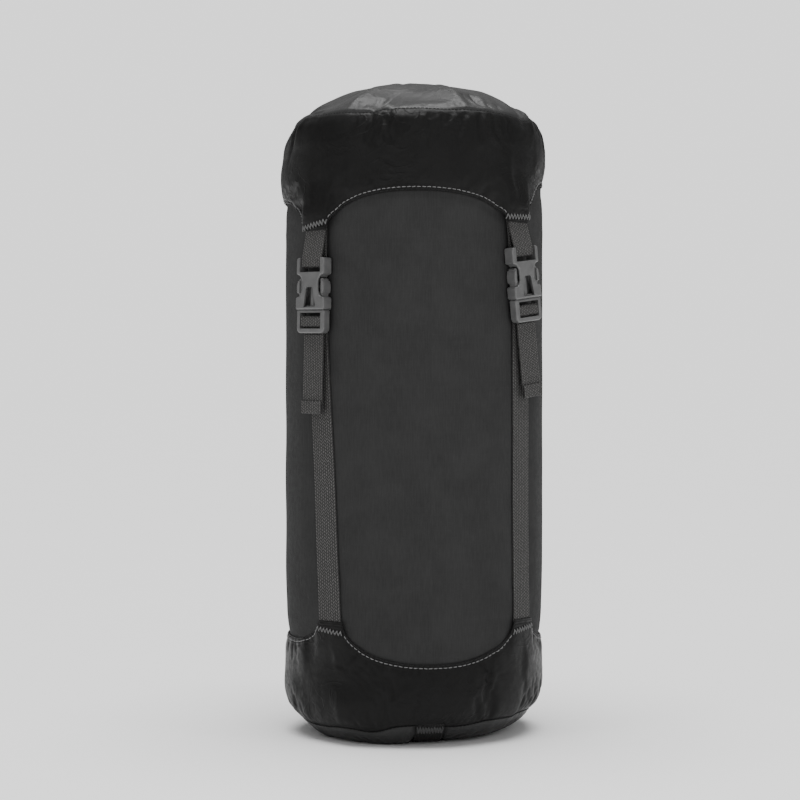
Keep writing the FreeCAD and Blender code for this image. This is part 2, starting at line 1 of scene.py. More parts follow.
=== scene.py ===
"""The looks of the stuffed compression sack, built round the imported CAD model.

Lengths here are millimetres until they become mesh vertices, which are in metres. An angle round the
sack is counted from the front (-Y) towards +X. "Along" is the distance from the middle of the lid, over
the edge and down the wall.
"""
import math
import bmesh
import bpy
import numpy as np
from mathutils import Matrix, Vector


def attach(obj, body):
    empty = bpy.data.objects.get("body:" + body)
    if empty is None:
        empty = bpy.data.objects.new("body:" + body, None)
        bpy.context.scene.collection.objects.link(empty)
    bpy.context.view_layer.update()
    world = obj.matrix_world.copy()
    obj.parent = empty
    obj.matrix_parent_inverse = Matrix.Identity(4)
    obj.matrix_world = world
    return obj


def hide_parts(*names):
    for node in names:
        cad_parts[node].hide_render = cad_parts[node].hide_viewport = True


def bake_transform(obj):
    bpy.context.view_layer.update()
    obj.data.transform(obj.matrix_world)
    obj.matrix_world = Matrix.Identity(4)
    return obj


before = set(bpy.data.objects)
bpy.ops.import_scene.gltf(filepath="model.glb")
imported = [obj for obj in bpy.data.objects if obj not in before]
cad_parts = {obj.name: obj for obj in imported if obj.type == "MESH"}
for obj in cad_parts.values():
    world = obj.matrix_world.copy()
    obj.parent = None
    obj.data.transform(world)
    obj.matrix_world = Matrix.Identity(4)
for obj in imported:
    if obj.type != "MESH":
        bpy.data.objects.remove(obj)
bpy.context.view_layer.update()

MM = 0.001
TAU = 2 * math.pi

# Strap stations as the CAD has them: angle, buckle's lower end, bottom of the lid's tab, tail length, lean
STATIONS = {
    "front_left": (-46.0, 289.0, 361.0, 57.0, -1.5),
    "front_right": (46.0, 297.0, 367.0, 54.0, 7.5),
    "back_right": (134.0, 293.0, 364.0, 56.0, 3.0),
    "back_left": (-134.0, 293.0, 364.0, 56.0, 4.0),
}
LID_TURN, BASE_TURN = -6.0, 0.5
LID_ARCHES = {"front": 386.5, "right": 399.0, "back": 391.0, "left": 386.0}
BASE_ARCHES = {"front": 59.0, "right": 70.0, "back": 60.0, "left": 71.0}
STRAP_ANGLE, TAB_HALF = 46.0, 7.5
BASE_TAB_TOP = 87.0
USUAL_TAB = 364.0           # bottom of a lid tab away from the stations
TAB_MIDDLE = 7.0            # height of a lid tab's middle over its bottom
BUCKLE_OUT = 99.25
STRAP_OUT, TAIL_OUT = 95.2, 98.3
WEB_WIDTH, WEB = 20.0, 1.3
GAP = 0.1                   # between webbing and what it goes round
# The buckle's bars, their heights counted from its lower end
CENTRE_BAR_TOP, CENTRE_BAR_HALF = 11.0, 1.65
LOOP_SLOT_TOP, LOOP_BAR_HALF, LOOP_TOP = 47.5, 1.55, 52.0
LID_WALL = 96.2
TOP_SEAM = (91.3, 443.5)
BASE_SEAM_HEIGHT = 15.0
CORNER = 38.0
WALL = 93.3

# The line from the middle of the lid to the middle of the base, as (distance from the axis, height)
PROFILE = [(0, 471.2), (32, 469.8), (49, 466.6), (58, 464.2), (71, 458.4), (78, 454.8), (86, 449.0), TOP_SEAM,
           (93.0, 436), (WALL, 425), (WALL, 380), (WALL, 100), (93.0, 60), (93.0, CORNER)]
PROFILE += [(55.4 + 37.6 * math.cos(a), CORNER - 37.4 * math.sin(a)) for a in np.radians(range(5, 91, 5))]
PROFILE += [(40, 0.55), (0, 0.55)]


def smoothstep(x, low, high):
    t = np.clip((np.asarray(x, float) - low) / (high - low), 0, 1)
    return t * t * (3 - 2 * t)


def bell(x, width):
    return np.exp(-(np.asarray(x, float) / width) ** 2)


def degrees_from(phi, angle):
    """How far an angle in radians is from one in degrees, the short way round, in degrees."""
    return (np.degrees(phi) - angle + 180) % 360 - 180


def radians_from(phi, angle):
    """How far an angle is from another, the short way round, both in radians."""
    return (phi - angle + math.pi) % TAU - math.pi


def unit(vectors):
    return vectors / np.linalg.norm(vectors, axis=-1, keepdims=True)


def steps_along(points):
    """The distance of each point of a path from its start."""
    return np.r_[0, np.cumsum(np.linalg.norm(np.diff(points, axis=0), axis=1))]


def on_circle(radius, phi, z):
    """Points at a distance from the axis, an angle and a height."""
    radius, phi, z = np.broadcast_arrays(radius, phi, z)
    return np.stack([radius * np.sin(phi), -radius * np.cos(phi), z], -1)


def lined_profile(step=0.5, blur=3.0):
    """The profile as dense arrays: distance along, distance from the axis, height."""
    points = np.array(PROFILE, float)
    d = np.r_[0, np.cumsum(np.hypot(*np.diff(points, axis=0).T))]
    s = np.arange(0, d[-1], step)
    r, z = np.interp(s, d, points[:, 0]), np.interp(s, d, points[:, 1])
    k = bell(np.arange(-24, 25) * step, blur * math.sqrt(2))
    k /= k.sum()
    r = np.r_[-r[24:0:-1], r, -r[-2:-26:-1]]
    z = np.r_[z[24:0:-1], z, z[-2:-26:-1]]
    return s, np.convolve(r, k, "valid"), np.convolve(z, k, "valid")


ALONG, RADIUS, HEIGHT = lined_profile()
TOTAL = ALONG[-1]
TOP = float(np.interp(-TOP_SEAM[1], -HEIGHT, ALONG))
BASE = float(np.interp(-BASE_SEAM_HEIGHT, -HEIGHT, ALONG))


def along_at(height):
    """Distance along the profile at a height on the wall."""
    return np.interp(-np.asarray(height, float), -HEIGHT, ALONG)


def scallop(phi, tops, tab, turn, side_bend):
    """The height of a scalloped edge at angles round the sack, in radians."""
    a = degrees_from(phi, turn)
    out = np.full(np.shape(a), 1.0) * tab
    for side, middle, between in (("front", 0, STRAP_ANGLE), ("right", 90, 90 - STRAP_ANGLE),
                                  ("back", 180, STRAP_ANGLE), ("left", -90, 90 - STRAP_ANGLE)):
        x = ((a - middle + 180) % 360 - 180) / (between - TAB_HALF + 0.8)
        bend, power = side_bend if abs(middle) == 90 else (2.3, 0.5)
        arch = tab + (tops[side] - tab) * np.clip(1 - np.abs(x) ** bend, 0, 1) ** power
        out = np.where(np.abs(x) < 1, arch, out)
    return out


def lid_edge(phi):
    tab = np.full(np.shape(phi), USUAL_TAB)
    for angle, _, height, _, _ in STATIONS.values():
        tab = tab + (height - USUAL_TAB) * bell(np.abs(degrees_from(phi, angle + LID_TURN)), 30)
    return scallop(phi, LID_ARCHES, tab, LID_TURN, (3.2, 1.0))


def base_edge(phi):
    return scallop(phi, BASE_ARCHES, BASE_TAB_TOP, BASE_TURN, (4.0, 0.6))


def waves(phi, s, count, seed, fastest=9):
    """Smooth noise over the sack that closes round it."""
    rng = np.random.default_rng(seed)
    out = np.zeros(np.broadcast(phi, s).shape)
    for _ in range(count):
        m = rng.integers(2, fastest)
        w = rng.uniform(0.02, 0.12)
        p, q = rng.uniform(0, TAU, 2)
        out = out + np.sin(m * phi + p) * np.sin(w * s + q)
    return out / count ** 0.5


def frames_at(phi, s):
    """Points of the undisturbed surface, and its outward, round and down directions."""
    r, z = np.interp(s, ALONG, RADIUS), np.interp(s, ALONG, HEIGHT)
    dr = np.interp(s + 0.5, ALONG, RADIUS) - np.interp(s - 0.5, ALONG, RADIUS)
    dz = np.interp(s + 0.5, ALONG, HEIGHT) - np.interp(s - 0.5, ALONG, HEIGHT)
    size = np.maximum(np.hypot(dr, dz), 1e-6)
    dr, dz = dr / size, dz / size
    sin, cos = np.sin(phi), -np.cos(phi)
    point = np.stack([r * sin, r * cos, z], -1)
    outward = np.stack([-dz * sin, -dz * cos, dr], -1)
    around = np.stack([-cos, sin, np.zeros_like(sin)], -1)
    down = np.stack([dr * sin, dr * cos, dz], -1)
    return point, outward, around, down


# ------------------------------------------------------------------------------
# The cloth: one simulated skin gives the folds that every fabric panel shares

SIM_ROWS, SIM_COLUMNS, SIM_FRAMES, SIM_SCALE = 176, 240, 26, 0.01


def grid_faces(rows, columns):
    """The squares of a grid of vertices that is closed round."""
    index = np.arange(rows * columns).reshape(rows, columns)
    right = np.roll(index, -1, 1)
    return np.stack([index[1:], right[1:], right[:-1], index[:-1]], -1).reshape(-1, 4)


def skin_grid():
    """The angles and the distances along at the simulated skin's vertices."""
    s = np.linspace(5, TOTAL - 5, SIM_ROWS)
    phi = np.linspace(0, TAU, SIM_COLUMNS, endpoint=False)
    return np.meshgrid(phi, s)


def simulate_skin():
    """Blows up a skin cut too big in places and gathered at the seams, and returns how far it moved."""
    grid_phi, grid_s = skin_grid()
    point, outward, _, _ = frames_at(grid_phi, grid_s)
    z = point[..., 2]
    lid = (z > lid_edge(grid_phi)) & (grid_s > TOP)
    cup = (z < base_edge(grid_phi)) & (grid_s < BASE)
    dome, bottom = grid_s <= TOP, grid_s >= BASE
    loose = lid | cup | dome | bottom
    cut = np.where(lid, 0.20, np.where(cup, 0.16, np.where(dome, 0.22, np.where(bottom, 0.22, 0.36))))
    cut = cut + 0.07 * waves(grid_phi, grid_s, 6, 3) * loose
    vary = np.clip(0.75 + 0.4 * waves(grid_phi, 0 * grid_s + 40, 5, 11), 0.25, 1)
    to_lid, to_base = z - lid_edge(grid_phi), z - base_edge(grid_phi)
    gathered = np.maximum.reduce([
        vary * bell(grid_s - TOP, 4), vary * bell(grid_s - BASE, 5),
        0.45 * vary * bell(to_lid, 3) * (z > 300), 0.5 * vary * bell(to_base, 3) * (z < 120)])
    cut = np.clip(cut + (1 - cut) * gathered, 0, 1)
    hold = np.where(lid, 0.07, np.where(cup, 0.06, np.where(dome, 0.03, np.where(bottom, 0.25, 0.2))))
    hold = np.maximum.reduce([hold, 0.35 * bell(grid_s - TOP, 3), 0.3 * bell(grid_s - BASE, 3)])
    hold = np.where((grid_s < 10) | (grid_s > TOTAL - 30), 1.0, hold)
    start = point + outward * (waves(grid_phi, grid_s, 8, 21) * np.where(loose, 1.2, 0.25))[..., None]

    faces = grid_faces(SIM_ROWS, SIM_COLUMNS)
    mesh = bpy.data.meshes.new("skin")
    mesh.from_pydata((point.reshape(-1, 3) * SIM_SCALE).tolist(), [], faces.tolist())
    skin = bpy.data.objects.new("skin", mesh)
    bpy.context.scene.collection.objects.link(skin)
    for name, values in (("cut", cut), ("hold", hold)):
        group = skin.vertex_groups.new(name=name)
        level = np.round(values.ravel() * 100).astype(int)
        for value in np.unique(level):
            group.add(np.nonzero(level == value)[0].tolist(), value / 100, "REPLACE")
    cloth = skin.modifiers.new("cloth", "CLOTH")
    settings = cloth.settings
    settings.quality = 6
    settings.mass = 0.3
    settings.tension_stiffness = settings.compression_stiffness = 15
    settings.shear_stiffness = 8
    settings.bending_stiffness = 0.8
    settings.tension_damping = settings.compression_damping = settings.shear_damping = 5
    settings.air_damping = 2
    settings.vertex_group_mass = "hold"
    settings.pin_stiffness = 4
    settings.vertex_group_shrink = "cut"
    settings.shrink_min, settings.shrink_max = -0.065, 0.115
    settings.use_pressure = True
    settings.uniform_pressure_force = 1.0
    settings.effector_weights.gravity = 0.1
    cloth.collision_settings.use_collision = False
    mesh.vertices.foreach_set("co", (start.reshape(-1, 3) * SIM_SCALE).ravel())
    mesh.update()
    for number in range(1, SIM_FRAMES + 1):
        bpy.context.scene.frame_set(number)
    result = skin.evaluated_get(bpy.context.evaluated_depsgraph_get())
    moved = np.empty(len(result.data.vertices) * 3)
    result.data.vertices.foreach_get("co", moved)
    bpy.data.objects.remove(skin)
    bpy.data.meshes.remove(mesh)
    bpy.context.scene.frame_set(1)
    return local_moves(grid_phi, grid_s, moved.reshape(SIM_ROWS, SIM_COLUMNS, 3) / SIM_SCALE - point)


def local_moves(phi, s, moves):
    """Moves as parts along the outward, round and down directions, within what seams and straps allow."""
    _, outward, around, down = frames_at(phi, s)
    parts = np.stack([(moves * d).sum(-1) for d in (outward, around, down)], -1)
    z = np.interp(s, ALONG, HEIGHT)
    for k, keep in ((0, 0.12), (1, 0.0), (2, 0.3)):
        parts[..., k] -= (1 - keep) * parts[..., k].mean(1, keepdims=True)
    parts *= smoothstep(s, 8, 46)[..., None]
    limit = np.where(s < TOP, 4.0, 3.0)
    parts[..., 0] = limit * np.tanh(parts[..., 0] / limit)
    parts[..., 0] *= 1 - 0.9 * smoothstep(s, BASE + 8, BASE + 40)
    parts[..., 2] *= 1 - 0.5 * (s < TOP)
    tube = (z < lid_edge(phi)) & (z > base_edge(phi))
    parts[..., 0] = np.where(tube, np.clip(parts[..., 0], -1.2, 0.8), parts[..., 0])
    return parts


MOVES = simulate_skin()


def cubic_weights(t):
    return np.stack([-0.5 * t + t ** 2 - 0.5 * t ** 3, 1 - 2.5 * t ** 2 + 1.5 * t ** 3,
                     0.5 * t + 2 * t ** 2 - 1.5 * t ** 3, -0.5 * t ** 2 + 0.5 * t ** 3], -1)


def moves_at(phi, s):
    """The simulated moves at any angle and distance along, smoothly interpolated."""
    row = np.clip((s - 5) / (TOTAL - 10) * (SIM_ROWS - 1), 0, SIM_ROWS - 1.001)
    column = (phi / TAU * SIM_COLUMNS) % SIM_COLUMNS
    row0, column0 = np.floor(row).astype(int), np.floor(column).astype(int)
    wr, wc = cubic_weights(row - row0), cubic_weights(column - column0)
    out = np.zeros(np.shape(row) + (3,))
    for i in range(4):
        rows = np.clip(row0 + i - 1, 0, SIM_ROWS - 1)
        for j in range(4):
            columns = (column0 + j - 1) % SIM_COLUMNS
            out += MOVES[rows, columns] * (wr[..., i] * wc[..., j])[..., None]
    return out


def strap_phi(name, z):
    """The angle of a strap's middle line at a height, in radians."""
    angle, lock, tab, _, lean = STATIONS[name]
    shift = (tab + TAB_MIDDLE - lock) * math.tan(math.radians(lean))
    top = angle + LID_TURN + math.degrees(shift / BUCKLE_OUT)
    t = np.clip((np.asarray(z, float) - 70) / (lock - 70), 0, 1.4)
    return np.radians(angle + BASE_TURN + (top - angle - BASE_TURN) * t)


def swell(z):
    return 1.4 * smoothstep(z, 70, 130) * (1 - smoothstep(z, 422, 440))


def strap_groove(phi, z):
    """How far the wall swells between the straps and gives way under them."""
    out = np.zeros(np.broadcast(phi, z).shape)
    for name in STATIONS:
        away = radians_from(phi, strap_phi(name, z)) * WALL
        out = out - 2.3 * bell(away, 12.5) + 0.5 * bell(np.abs(away) - 22, 8)
    return out * smoothstep(z, 92, 120) * (1 - smoothstep(z, 345, 372)) + swell(z)


# Big soft shapes of this stuffing: (angle, width in degrees, size in mm)
SEAM_WANDER = ((-100, 34, 4.2), (-56, 16, -0.8), (-30, 12, 1.4), (-7, 14, -1.4), (22, 12, -1.6), (50, 9, 2.4),
               (68, 9, -2.6), (96, 20, 2.4), (140, 22, -1.6), (176, 16, 2.0), (-148, 18, -1.8))
BASE_WANDER = ((-62, 16, 2.6), (-40, 9, -0.6), (-27, 8, 2.4), (-16, 7, -1.6), (-5, 9, -2.0), (14, 10, 1.6),
               (34, 11, -1.6), (60, 14, -2.6), (100, 20, 2.0), (150, 16, -2.2), (-160, 18, 2.4),
               (-110, 14, -1.8))
LID_RIDGES = (-172, -128, -78, -38, 16, 47, 92, 138)


def bumps(phi, table):
    found = (size * bell(degrees_from(phi, angle), width) for angle, width, size in table)
    return sum(found, np.zeros(np.shape(phi)))


def facets(phi):
    """How far flat pieces of cloth stretched between ridges lie inside a circle, as a share of its radius."""
    a = np.degrees(phi) % 360
    ridges = sorted(r % 360 for r in LID_RIDGES)
    out = np.zeros(np.shape(a))
    for low, high in zip(ridges, ridges[1:] + [ridges[0] + 360]):
        for turn in (0, 360):
            inside = (a + turn >= low) & (a + turn < high)
            middle, half = (low + high) / 2, (high - low) / 2
            away = np.radians(np.clip(a + turn - middle, -half, half))
            flat = 1 - math.cos(math.radians(half)) / np.cos(away)
            out = np.where(inside, flat, out)
    return out


# Tucks pressed across a seam: (angle, half width in mm, depth, distance along of the middle, half length)
TUCKS = ((-24, 2.4, -2.2, -10, 15), (-19, 2.0, 1.2, -8, 12), (-16, 3.0, 1.6, 9, 8), (-22, 2.2, -1.6, 12, 9),
         (-71, 3.5, -2.6, 12, 12), (-64, 3.0, 1.4, 8, 12), (52, 2.4, -1.8, -12, 14), (58, 3.2, 1.5, -4, 16),
         (72, 2.6, -2.0, 6, 12), (30, 3.6, 1.2, -16, 14), (150, 2.6, -2.0, -8, 14), (-140, 3.0, -1.8, 8, 12),
         (110, 3.0, 1.6, 6, 14), (-105, 2.6, -1.8, -10, 14))


def tucks(phi, s):
    out = np.zeros(np.broadcast(phi, s).shape)
    for angle, width, depth, middle, length in TUCKS:
        away = radians_from(phi, math.radians(angle)) * 88 + (s - TOP - middle) * 0.35
        out = out + depth * bell(away, width) * bell(s - TOP - middle, length)
    return out


def big_shapes(phi, s):
    """Lifts and slides along the skin that come from how the sack is stuffed."""
    slide = bumps(phi, SEAM_WANDER) * bell(s - TOP, 26) + bumps(phi, BASE_WANDER) * bell(s - BASE, 15)
    lid_share = smoothstep(s, 22, 74) * (1 - smoothstep(s, TOP - 18, TOP + 6))
    lift = -58 * facets(phi) * lid_share
    front_sag = bell(degrees_from(phi, -42), 38)
    lift = lift + 5.0 * front_sag * bell(s - BASE - 6, 24)
    droop = bell(degrees_from(phi, -100), 36)
    lift = lift - 4.5 * droop * bell(s - TOP + 24, 26)
    return lift + tucks(phi, s), slide


def surface(phi, s, lift=0.0):
    """Points of the sack's skin, raised by a lift."""
    phi, s, lift = np.broadcast_arrays(np.asarray(phi, float), np.asarray(s, float), np.asarray(lift, float))
    shape, slide = big_shapes(phi, s)
    point, outward, around, down = frames_at(phi, s + slide)
    z = point[..., 2]
    flat = np.maximum(tab_bump(phi, z, BASE_TURN, "base"), tab_bump(phi, z, LID_TURN, "lid"))
    moves = moves_at(phi, s) * (1 - 0.93 * flat)[..., None]
    x, y = point[..., 0], point[..., 1]
    quilt = np.sin(x / 11 + 1.2 * np.sin(y / 17)) * np.sin(y / 13 + 0.8 * np.sin(x / 19) + 1)
    lift = lift + 0.7 * quilt * (1 - smoothstep(s, 45, 80))
    on_wall = (s > TOP) & (s < BASE)
    push = moves[..., 0] + lift + shape + np.where(on_wall, strap_groove(phi, z), 0)
    push = push - 0.8 * bell(s - TOP, 1.3) - 0.8 * bell(s - BASE, 1.5)
    out = point + outward * push[..., None] + around * moves[..., 1:2] + down * moves[..., 2:3]
    out[..., 2] = np.maximum(out[..., 2], 0.12)
    return out


# ------------------------------------------------------------------------------
# Meshes


def add_mesh(name, points, faces, uv=None, attribute=None):
    mesh = bpy.data.meshes.new(name)
    mesh.from_pydata((np.asarray(points).reshape(-1, 3) * MM).tolist(), [], faces)
    mesh.polygons.foreach_set("use_smooth", [True] * len(mesh.polygons))
    if uv is not None:
        layer = mesh.uv_layers.new(name="cloth")
        layer.data.foreach_set("uv", (np.asarray(uv, float) * MM).ravel())
    if attribute is not None:
        data = mesh.attributes.new("rib", "FLOAT", "POINT")
        data.data.foreach_set("value", np.asarray(attribute, np.float32).ravel())
    mesh.update()
    piece = bpy.data.objects.new(name, mesh)
    bpy.context.scene.collection.objects.link(piece)
    return piece


def grid_piece(name, points, u, v, attribute=None):
    """A mesh from a grid of points that is closed round, with the cloth's own measures u (round) and
    v (along) as its texture map. They have one more column than the grid."""
    rows, columns = points.shape[:2]
    uv_grid = np.stack(np.broadcast_arrays(u, v), -1)
    i, j = np.arange(rows - 1)[:, None], np.arange(columns)[None, :]
    uv = np.stack([uv_grid[i + 1, j], uv_grid[i + 1, j + 1], uv_grid[i, j + 1], uv_grid[i, j]], -2)
    return add_mesh(name, points, grid_faces(rows, columns).tolist(), uv.reshape(-1, 2), attribute)


def skin_piece(name, columns, rows, flat=False):
    """A closed band of the skin from rows of (distance along, lift), each a number or a value for every
    angle. A flat disc's texture map is seen from above."""
    phi = np.linspace(0, TAU, columns, endpoint=False)
    s, lift = (np.stack([np.broadcast_to(row[k], phi.shape) for row in rows]) for k in (0, 1))
    points = surface(phi[None, :], s, lift)
    if flat:
        closed = np.concatenate([points, points[:, :1]], 1)
        return grid_piece(name, points, closed[..., 0], closed[..., 1])
    u = np.linspace(0, TAU * WALL, columns + 1)[None, :]
    return grid_piece(name, points, u, np.concatenate([s, s[:, :1]], 1))


def tab_bump(phi, z, turn, kind):
    """1 where a tab covers webbing, fading to 0 round it."""
    out = np.zeros(np.broadcast(phi, z).shape)
    for angle, _, tab, _, _ in STATIONS.values():
        away = radians_from(phi, math.radians(angle + turn)) * WALL
        across = np.exp(-(away / 14.8) ** 8) * (1 + away ** 2 / 1200)
        up = smoothstep(z, 56, 72) if kind == "base" else 1 - smoothstep(z, tab + 10, tab + 36)
        out = np.maximum(out, across * up)
    return out


def cup_lift(phi, z):
    """The tabs' share of how far the base cup stands off the skin."""
    return BASE_TAB_LIFT * tab_bump(phi, z, BASE_TURN, "base")


def height_at(s):
    return np.interp(s, ALONG, HEIGHT)


BASE_TAB_LIFT, LID_TAB_LIFT = 1.8, 4.4
CUP_LIFT, EDGE_LIFT, LID_LIFT = 1.3, 1.5, 2.6
HEM_DIPS = (1.1, 2.9)


HEM_ROWS = np.arange(0.6, 7.5, 0.55)       # distances from an edge of the rows that show its stitching's dips


def hem_dip(distance):
    """The shallow channels along the stitch rows of a hem."""
    return -0.28 * sum(bell(distance - d, 0.55) for d in HEM_DIPS) - 0.15 * bell(distance - 5.2, 0.9)


def make_tube():
    s = np.linspace(along_at(412), along_at(50), 215)
    tube = skin_piece("tube_fabric", 384, [(v, 0.0) for v in s])
    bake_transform(tube)
    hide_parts("body_tube")
    return tube


def make_cup():
    columns = 480
    phi = np.linspace(0, TAU, columns, endpoint=False)
    edge = along_at(base_edge(phi))
    rows = []
    for distance, lift in ((9, 0.2), (0.6, 0.25), (0.1, 0.45), (0.0, 0.85), (0.25, 1.15)):
        rows.append((edge + distance, lift + cup_lift(phi, height_at(edge + distance))))
    for distance in HEM_ROWS:
        s = edge + distance
        rows.append((s, CUP_LIFT + hem_dip(distance) + cup_lift(phi, height_at(s))))
    first = edge + HEM_ROWS[-1]
    for t in np.linspace(0, 1, 62)[1:]:
        s = first + (BASE - first) * t
        taper = 1 - 0.6 * smoothstep(s, BASE - 9, BASE)
        rows.append((s, CUP_LIFT * taper + cup_lift(phi, height_at(s))))
    cup = skin_piece("base_cup_fabric", columns, rows)
    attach(cup, "sack")
    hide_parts("base_cup")
    for name in STATIONS:
        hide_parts(f"base_tab_{name}")
    return cup


def lid_lift(z, edge_z, phi):
    grown = EDGE_LIFT + (LID_LIFT - EDGE_LIFT) * smoothstep(z - edge_z, 2, 26)
    grown = grown * (1 - 0.5 * smoothstep(z, 434, 443.5))
    return grown + LID_TAB_LIFT * tab_bump(phi, z, LID_TURN, "lid")


def make_skirt():
    columns = 480
    phi = np.linspace(0, TAU, columns, endpoint=False)
    edge_z = lid_edge(phi)
    edge = along_at(edge_z)
    rows = []
    for distance, lift in ((9, -1.05), (0.6, -1.0), (0.1, -0.8), (0.0, -0.4), (0.25, -0.12)):
        rows.append((edge - distance, lift + lid_lift(height_at(edge - distance), edge_z, phi)))
    for distance in HEM_ROWS:
        s = edge - distance
        rows.append((s, hem_dip(distance) + lid_lift(height_at(s), edge_z, phi)))
    first = edge - HEM_ROWS[-1]
    for t in np.linspace(0, 1, 72)[1:]:
        s = first + (TOP - first) * t
        rows.append((s, lid_lift(height_at(s), edge_z, phi)))
    skirt = skin_piece("lid_skirt_fabric", columns, rows[::-1])
    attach(skirt, "lid")
    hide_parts("lid_skirt")
    for name in STATIONS:
        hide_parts(f"lid_tab_{name}")
    return skirt


def make_discs():
    rows = [(s, 1.2) for s in np.r_[0.4, np.linspace(2, TOP, 92)]]
    top = skin_piece("lid_disc_fabric", 400, rows, flat=True)
    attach(top, "lid")
    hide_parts("lid_disc")
    columns = 400
    phi = np.linspace(0, TAU, columns, endpoint=False)
    rows = []
    for s in np.r_[np.linspace(BASE, TOTAL - 2, 84), TOTAL - 0.4]:
        r = np.interp(s, ALONG, RADIUS)
        across = r * np.sin(phi)
        channel = (1 - smoothstep(np.abs(across), 10.5, 13)) * smoothstep(s, BASE - 1, BASE + 2)
        rows.append((s, 0.45 - 2.1 * channel))
    bottom = skin_piece("base_disc_fabric", columns, rows, flat=True)
    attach(bottom, "sack")
    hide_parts("base_disc")
    return top, bottom


def resample(path, step, measured=3):
    """The path's points at even steps of its first few columns' length."""
    path = np.asarray(path, float)
    d = steps_along(path[:, :measured])
    count = max(int(round(d[-1] / step)), 2) + 1
    at = np.linspace(0, d[-1], count)
    return np.stack([np.interp(at, d, path[:, k]) for k in range(path.shape[1])], -1), at


def rib_height(u, v, columns, step):
    """Heavy webbing: columns of slanted bumps, 0 to 1. The webbing's colour follows it too, as painted shade:
    dark in the grooves, light on the bead tops.
    """
    pitch = WEB_WIDTH / columns
    column = np.floor((u + WEB_WIDTH / 2) / pitch + 1e-6)
    inside = (u + WEB_WIDTH / 2) / pitch - column - 0.5
    ridge = np.clip(1 - (2 * inside) ** 2, 0, 1) ** 0.6
    slant = np.where(column % 2 == 0, 1, -1) * inside * 0.9
    bead = 0.5 + 0.5 * np.cos(TAU * (v / step + 0.5 * (column % 2) + slant))
    return ridge * (0.2 + 0.8 * bead)


RIB_DEPTH = 0.34


def webbing(name, centres, across, normal, bow=0.0, knit=(11, 1.9), round_start=False, both=True):
    """A strip of webbing from its centre points and the unit directions across it and out of it. knit is how
    many columns of beads it has and their pitch in mm, bow is how it curves across, and a back that doesn't
    show has no weave."""
    table, d = resample(np.concatenate([centres, across, normal], 1), knit[1] / 5)
    centres, across, normal = table[:, :3], table[:, 3:6], table[:, 6:]
    half = WEB_WIDTH / 2
    fine = 5 * knit[0] + 1
    u_front = np.linspace(-half, half, fine)
    u_back = np.linspace(half, -half, fine if both else 12)
    ring_u = np.r_[u_front, half + 0.1, half + 0.1, u_back, -half - 0.1, -half - 0.1]
    side = np.r_[np.full(fine, 1.0), 0.5, -0.5, np.full(len(u_back), -1.0), -0.5, 0.5]
    face, v = np.abs(side) == 1, d[:, None]
    # rib also paints shade into the webbing's colour, dark where it is low
    rib = np.where(face, rib_height(ring_u, v, *knit), 0.4 + 0.4 * np.cos(TAU * v / 1.05))
    depth = (WEB / 2) * side - np.where(side > 0, 1, -1) * RIB_DEPTH * (1 - rib) * face
    if round_start:
        depth = depth * np.sqrt(1 - np.clip(1 - v / (WEB / 2), 0, 1) ** 2)
    across_at = ring_u - np.sign(ring_u) * np.where(face, 0, 0.22 * (1 - rib))
    points = (centres[:, None, :] + across[:, None, :] * across_at[..., None]
              + normal[:, None, :] * (depth - bow * across_at ** 2 / 2)[..., None])
    outline = np.r_[ring_u, ring_u[0]], np.r_[side, side[0]]
    piece = grid_piece(name, points, steps_along(np.stack(outline, -1))[None, :], v, rib)
    close_ends(piece, len(d), len(ring_u))
    return piece


def close_ends(piece, rows, columns):
    """Closes the two ends of a strip."""
    bm = bmesh.new()
    bm.from_mesh(piece.data)
    bm.verts.ensure_lookup_table()
    bm.faces.new([bm.verts[i] for i in range(columns)])
    bm.faces.new([bm.verts[(rows - 1) * columns + i] for i in reversed(range(columns))])
    bmesh.ops.triangulate(bm, faces=bm.faces[-2:])
    bm.normal_update()
    bm.to_mesh(piece.data)
    bm.free()


def station_place(name, local):
    """Points (across, out, up) of a strap station, leaning and turned, as the CAD places them."""
    angle, _, tab, _, lean = STATIONS[name]
    local = np.asarray(local, float)
    a, t = math.radians(angle + LID_TURN), math.radians(lean)
    pivot = tab + TAB_MIDDLE
    x, out, up = local[..., 0], local[..., 1], local[..., 2] - pivot
    across, z = x * math.cos(t) - up * math.sin(t), pivot + x * math.sin(t) + up * math.cos(t)
    right, front = across * math.cos(a) + out * math.sin(a), across * math.sin(a) - out * math.cos(a)
    return np.stack([right, front, z], -1)


def bent_path(points, bends, step=0.35):
    """Rounds the corners of an (out, up) path and returns dense points with their normals to the left."""
    points = [np.array(p, float) for p in points]
    out = [points[0]]
    for before, corner, after, radius in zip(points, points[1:], points[2:], bends):
        enter, leave = unit(corner - before), unit(after - corner)
        turn = math.acos(float(np.clip(enter @ leave, -1, 1)))
        start = corner - enter * radius * math.tan(turn / 2)
        side = math.copysign(1, enter[0] * leave[1] - enter[1] * leave[0])
        centre = start + side * radius * np.array([-enter[1], enter[0]])
        x, y = start - centre
        for spin in side * np.linspace(0, turn, 14):
            c, s = math.cos(spin), math.sin(spin)
            out.append(centre + np.array([x * c - y * s, x * s + y * c]))
    out.append(points[-1])
    path, _ = resample(out, step)
    direction = unit(np.gradient(path, axis=0))
    return path, np.stack([-direction[:, 1], direction[:, 0]], -1)


def station_webbing(name, piece_name, points, bends, flip, **options):
    """Webbing at a strap station along an (out, up) path."""
    path, normal = bent_path(points, bends)
    zero = np.zeros((len(path), 1))
    local, outward = np.concatenate([zero, path], 1), np.concatenate([zero, normal], 1)
    origin = station_place(name, local)
    out_dir = station_place(name, local + outward) - origin
    across = station_place(name, local + np.array([1.0, 0, 0])) - origin
    return webbing(piece_name, origin, across, out_dir * flip, **options)


